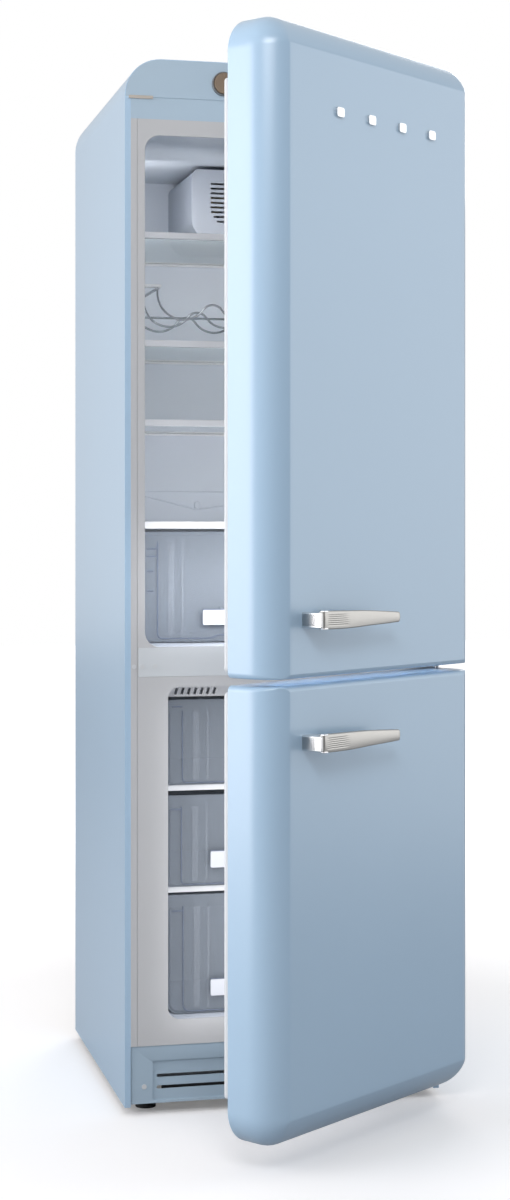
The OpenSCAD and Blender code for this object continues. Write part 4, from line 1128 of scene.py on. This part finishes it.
@dataclass
class Interior:
    """Details of the two compartments.

    Args:
        back: depth of the fresh-food compartment's back wall.
        spout_x: where the drain is.
        low_point: height of the gutter at the drain.
        crest: height of the line above it.
    """

    back: float = 0.2245
    spout_x: float = -0.054
    low_point: float = 1.1080
    crest: float = 1.1450

    def build_gutter(self) -> None:
        """Builds the shallow V that leads water to the drain on the back wall."""
        xs = np.linspace(-0.255, 0.255, 60)
        away = xs - self.spout_x
        z = self.low_point + np.where(away < 0, -0.2545 * away, 0.158 * away)
        for name, radius in (("gutter_lip", 0.0016), ("gutter_crest", 0.0010)):
            level = z if name == "gutter_lip" else np.full_like(xs, self.crest)
            path = np.stack([xs, np.full_like(xs, self.back), level], axis=1)
            make_object(name, *tube(path, radius, 8), Palette.liner, Body.CABINET)
        sides = (self.spout_x - 0.006, 1.1095, self.spout_x + 0.006, 1.1250)
        spout = plate(*sides, self.back + 0.0005, self.back - 0.003, 0.004, 0.002, 6)
        make_object("drain_spout", *spout, Palette.liner, Body.CABINET)
        LOG.info("drain gutter")

    def build(self) -> None:
        """Builds all interior details."""
        self.build_gutter()
        BottleRack().build()
        DrawerFront(
            "crisper_drawer", Body.CRISPER, 0.2168, (0.1316, 0.8869, 0.9153), 0.009, 0.006, 0.104,
            (1.0297, 1.0157, 0.9875, 0.9505), panel_low=0.007, panel_high=0.02
        ).build()
        DrawerFront(
            "freezer_drawer_top", Body.DRAWER_TOP, 0.186, (0.137, 0.60, 0.6994), 0.008, 0.005, 0.09, (0.7394,),
            solid_pad=False
        ).build()
        DrawerFront(
            "freezer_drawer_middle", Body.DRAWER_MIDDLE, 0.188, (0.1348, 0.4425, 0.4728), 0.008, 0.005, 0.09,
            (0.5500,)
        ).build()
        DrawerFront(
            "freezer_drawer_bottom", Body.DRAWER_BOTTOM, 0.185, (0.1348, 0.2060, 0.2362), 0.012, 0.007, 0.09,
            (0.3621,)
        ).build()


class ThermostatFace:
    """Rolled rim of the thermostat."""

    @staticmethod
    def build() -> None:
        """Builds the rim: a circle of radius r carried round the dial."""
        low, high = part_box("thermostat_bezel")
        cx, cz, r = (low.x + high.x) / 2, (low.z + high.z) / 2, (high.x - low.x) / 2
        a = np.linspace(0, 2 * math.pi, 49)[:-1]
        b = np.linspace(0, 2 * math.pi, 11)[:-1]
        bead = 0.0013
        ring = (r - 0.0014) + bead * np.cos(b)[None, :]
        depth = low.y - 0.0001 + bead * np.sin(b)[None, :] * np.ones_like(a)[:, None]
        points = np.stack(
            [cx + ring * np.cos(a)[:, None], depth, cz + ring * np.sin(a)[:, None]], axis=-1
        ).reshape(-1, 3)
        make_object("thermostat_rim", points, grid_faces(48, 10, True, True), Palette.rim, Body.CABINET)
        LOG.info("thermostat rim")


@dataclass
class Rear:
    """Pipes at the compressor, and a dark plate behind the kick plate's slots that paints the shade seen through
    them.
    """

    copper: Finish = BrushedMetal("copper pipe", "black_steel", (0.55, 0.27, 0.16), rough=0.3, grain=40, bump=0.00001)

    def build(self) -> None:
        """Builds the pipes and the plate of painted shade."""
        low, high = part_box("compressor")
        cy = (low.y + high.y) / 2
        t = np.linspace(0, 1, 40)
        rise = high.z - low.z
        for k, top in enumerate((0.03, 0.045)):
            x = low.x + 0.004 - 0.05 * np.sin(t * math.pi * 0.5) - 0.01 * k
            z = low.z + rise * (0.45 + 0.1 * k) + top * t + 0.012 * np.sin(t * math.pi * 2)
            y = cy + 0.02 * k - 0.03 * t
            make_object(
                f"suction_pipe_{k}", *tube(np.stack([x, y, z], axis=1), 0.0035 - 0.0008 * k, 10), self.copper,
                Body.CABINET
            )
        # A dark plate behind the slots: painted shade where the slots look into the base.
        low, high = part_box("plinth")
        sides = (low.x + 0.06, 0.040, high.x - 0.06, 0.104)
        shade = plate(*sides, high.y + 0.0015, high.y + 0.0002, 0.003, 0.0004, 4)
        make_object("plinth_slot_painted_shade", *shade, Palette.dark, Body.CABINET)
        LOG.info("rear pipes")


# ---------------------------------------------------------------- carried-over nodes


class Dressing:
    """Gives each carried-over frame node its finish."""

    plain: dict[Finish, str] = {
        Palette.body: "cabinet_shell",
        Palette.back: "back_panel",
        Palette.foam: "cabinet_foam fridge_door_foam",
        Palette.liner: "fridge_liner freezer_liner evaporator_cover shelf_supports",
        Palette.frame: "front_frame",
        Palette.plug: "screw_plugs",
        Palette.front: "top_fascia control_band",
        Palette.beige: "hinge_clip",
        Palette.steel: "base_frame top_hinge middle_hinge bottom_hinge",
        Palette.rubber: "compressor_mounts roller_left roller_right foot_left foot_right",
        Palette.black: "condenser compressor",
        Palette.dark: "power_inlet fan_motor",
        Palette.glass: "shelf_lower shelf_middle shelf_upper",
        Palette.white: "freezer_shelves fan_rotor freezer_door_core",
        Palette.rim: "thermostat_bezel",
        Palette.dial: "thermostat_dial",
        Palette.chrome: "fridge_door_trim",
    }
    rounded: dict[str, tuple[float, Finish, Body]] = {
        "fan_cover": (0.006, Palette.housing, Body.CABINET),
        "freezer_vent": (0.0006, Palette.frame, Body.CABINET),
        "mid_rail": (0.0004, Palette.rail, Body.CABINET),
        "plinth": (0.0008, Palette.front, Body.CABINET),
        "crisper_cover": (0.0016, Palette.trim, Body.CABINET),
        "shelf_lower_trim": (0.0014, Palette.trim, Body.CABINET),
        "shelf_middle_trim": (0.0014, Palette.trim, Body.CABINET),
        "shelf_upper_trim": (0.0014, Palette.trim, Body.CABINET),
        "crisper_drawer": (0.0012, Palette.clear, Body.CRISPER),
        "freezer_drawer_bottom": (0.0012, Palette.clear, Body.DRAWER_BOTTOM),
        "freezer_drawer_middle": (0.0012, Palette.clear, Body.DRAWER_MIDDLE),
        "freezer_drawer_top": (0.0012, Palette.clear, Body.DRAWER_TOP),
        "fridge_door_liner": (0.004, Palette.white, Body.FRIDGE_DOOR),
        "door_bin_lower": (0.0012, Palette.clear_bin, Body.FRIDGE_DOOR),
        "door_bin_middle": (0.0012, Palette.clear_bin, Body.FRIDGE_DOOR),
        "door_bin_upper": (0.0012, Palette.clear_bin, Body.FRIDGE_DOOR),
    }

    @staticmethod
    def dress(mesh: bpy.types.Mesh, material: bpy.types.Material) -> None:
        """Puts one material on every material place of a mesh."""
        if not mesh.materials:
            mesh.materials.append(material)
        for k in range(len(mesh.materials)):
            mesh.materials[k] = material

    def build(self) -> None:
        """Dresses the plain nodes and makes the rounded copies."""
        for finish, nodes in self.plain.items():
            for node in nodes.split():
                self.dress(FRAME["nodes"][node].data, finish.build())
                LOG.info("dressed %s", node)
        for node, (radius, finish, body) in self.rounded.items():
            softened(node, radius, finish, body)


# ---------------------------------------------------------------- studio


@dataclass
class Softbox:
    """A soft studio light.

    Args:
        name: its name.
        place: where it stands.
        aim: the point it faces.
        size: width and height.
        power: watts.
        tint: colour.
        hidden: whether only its light shows, and not the lamp.
        spin: turn about its own axis, in degrees.
        spread: how wide its light fans out, in degrees.
    """

    name: str
    place: RGB
    aim: RGB
    size: tuple[float, float]
    power: float
    tint: RGB = (1.0, 1.0, 1.0)
    hidden: bool = False
    spin: float = 0.0
    spread: float = 180.0

    def build(self) -> None:
        """Hangs the light."""
        light = bpy.data.lights.new(self.name, "AREA")
        light.shape = "RECTANGLE"
        light.size, light.size_y = self.size
        light.energy = self.power
        light.color = self.tint
        light.spread = math.radians(self.spread)
        lamp = bpy.data.objects.new(self.name, light)
        direction = np.array(self.aim) - np.array(self.place)
        lamp.location = self.place
        turn = Vector(direction.tolist()).to_track_quat("-Z", "Y").to_matrix().to_4x4()
        lamp.rotation_euler = (turn @ Matrix.Rotation(math.radians(self.spin), 4, "Z")).to_euler()
        if self.hidden:
            lamp.visible_camera = lamp.visible_glossy = lamp.visible_transmission = False
        bpy.context.scene.collection.objects.link(lamp)


@dataclass
class Studio:
    """Camera, lights, floor and backdrop."""

    eye: RGB = (-0.9514, -3.9374, 1.0763)
    turn: float = 12.77
    lens: float = 61.0
    shift: tuple[float, float] = (0.0306, -0.0627)
    lights: tuple[Softbox, ...] = (
        Softbox("left softbox", (-3.2, -1.0, 1.50), (-0.2, -0.1, 1.10), (2.5, 3.0), 76.0, (1.0, 0.985, 0.985)),
        Softbox("right softbox", (3.2, -0.6, 1.50), (0.0, -0.4, 1.15), (2.0, 3.1), 23.0, (0.97, 0.99, 1.0)),
        Softbox("front fill", (-0.9, -4.2, 3.6), (-0.1, 0.0, 1.2), (2.0, 1.2), 66.0),
        Softbox("rear fill", (1.6, 3.2, 3.0), (0.0, 0.2, 1.0), (1.8, 1.6), 30.0),
        Softbox("drawer lamp", (0.0, -0.340, 0.455), (0.0, 0.2, 0.455), (0.42, 0.60), 0.62, hidden=True),
        Softbox("top bay lamp", (-0.04, -0.12, 1.640), (-0.10, 0.16, 1.75), (0.44, 0.12), 0.38, hidden=True),
        Softbox("top bay side lamp", (-0.205, -0.06, 1.690), (-0.215, 0.2, 1.68), (0.09, 0.12), 0.15, hidden=True),
        Softbox(
            "door gap lamp", (0.074, -0.524, 0.8205), (0.074, -0.524, 0.0), (0.50, 0.055), 0.07, hidden=True,
            spin=36.6, spread=30.0
        ),
        Softbox("rack bay lamp", (0.0, -0.17, 1.540), (0.0, 0.2, 1.50), (0.46, 0.12), 0.70, hidden=True),
        Softbox("lower bay lamp", (0.0, -0.17, 1.345), (0.0, 0.2, 1.33), (0.46, 0.10), 0.58, hidden=True),
        Softbox("cover bay lamp", (0.0, -0.17, 1.175), (0.0, 0.2, 1.16), (0.46, 0.12), 0.60, hidden=True),
        Softbox("crisper lamp", (0.0, -0.33, 0.97), (0.0, 0.2, 0.97), (0.44, 0.14), 0.85, hidden=True),
    )

    def build_camera(self) -> None:
        """Sets up the camera: level, turned to the right, with the framing's shift."""
        data = bpy.data.cameras.new("camera")
        data.lens = self.lens
        data.sensor_width = data.sensor_height = 36.0
        data.sensor_fit = "AUTO"
        data.shift_x, data.shift_y = self.shift
        data.clip_end = 60.0
        camera = bpy.data.objects.new("camera", data)
        camera.location = self.eye
        camera.rotation_euler = (math.pi / 2, 0.0, -math.radians(self.turn))
        bpy.context.scene.collection.objects.link(camera)
        bpy.context.scene.camera = camera

    def build_floor(self) -> None:
        """Lays a pale floor that glows for the camera, less near the object: painted shade round its base."""
        mesh = bpy.data.meshes.new("studio_floor")
        s = 14.0
        mesh.from_pydata([(-s, -s, 0), (s, -s, 0), (s, s, 0), (-s, s, 0)], [], [(0, 1, 2, 3)])
        material = bpy.data.materials.new("studio floor")
        material.use_nodes = True
        shader = material.node_tree.nodes["Principled BSDF"]
        n = Nodes(material.node_tree)
        seen = n.add("ShaderNodeLightPath").outputs["Is Camera Ray"]
        shader.inputs["Roughness"].default_value = 0.7
        shader.inputs["Specular IOR Level"].default_value = 0.1
        n.link(n.mix(seen, (0.42, 0.43, 0.45, 1.0), (0.92, 0.91, 0.92, 1.0)), shader.inputs["Base Color"])
        # The floor glows for the camera only, weakly near the object and fully far off: a white floor far away, and
        # painted shade on the floor round the object's base.
        n.link(n.mix(seen, (0.0, 0.0, 0.0, 1.0), (1.0, 1.0, 1.0, 1.0)), shader.inputs["Emission Color"])
        reach = n.add("ShaderNodeVectorMath", {0: n.object_place()}, operation="LENGTH").outputs["Value"]
        n.link(n.ramp(reach, 0.9, 3.2, 0.15, 0.75), shader.inputs["Emission Strength"])
        mesh.materials.append(material)
        floor = bpy.data.objects.new("studio_floor", mesh)
        bpy.context.scene.collection.objects.link(floor)

    def build_world(self) -> None:
        """White backdrop that gives only part of its light to the object."""
        world = bpy.data.worlds.new("backdrop")
        world.use_nodes = True
        bpy.context.scene.world = world
        n = Nodes(world.node_tree)
        background = world.node_tree.nodes["Background"]
        path = n.add("ShaderNodeLightPath").outputs["Is Camera Ray"]
        facing = n.add("ShaderNodeSeparateXYZ", {0: n.add("ShaderNodeTexCoord").outputs["Generated"]}).outputs[1]
        glow = n.ramp(facing, -0.95, -0.15, 0.24, 0.62)
        strength = n.math("ADD", n.math("MULTIPLY", glow, n.math("SUBTRACT", 1.0, path)), path)
        background.inputs["Color"].default_value = (1.0, 1.0, 1.0, 1.0)
        n.link(strength, background.inputs["Strength"])
        bpy.context.scene.view_settings.view_transform = "Standard"

    def build(self) -> None:
        """Builds the studio."""
        self.build_camera()
        self.build_floor()
        self.build_world()
        for light in self.lights:
            light.build()
        LOG.info("studio")


# ---------------------------------------------------------------- main


def main() -> None:
    """Builds the looks piece by piece."""
    logging.basicConfig(level=logging.INFO, format="%(message)s")
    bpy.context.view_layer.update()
    Studio().build()
    Dressing().build()
    fridge = PillowDoor("fridge_door", Body.FRIDGE_DOOR, RoundEnd.TOP)
    freezer = PillowDoor("freezer_door", Body.FREEZER_DOOR, RoundEnd.BOTTOM)
    for door in (fridge, freezer):
        door.build()
    LeverHandle("fridge", fridge).build()
    LeverHandle("freezer", freezer, 0.0080, 0.0040).build()
    Interior().build()
    ThermostatFace().build()
    Rear().build()


if __name__ == "__main__":
    main()
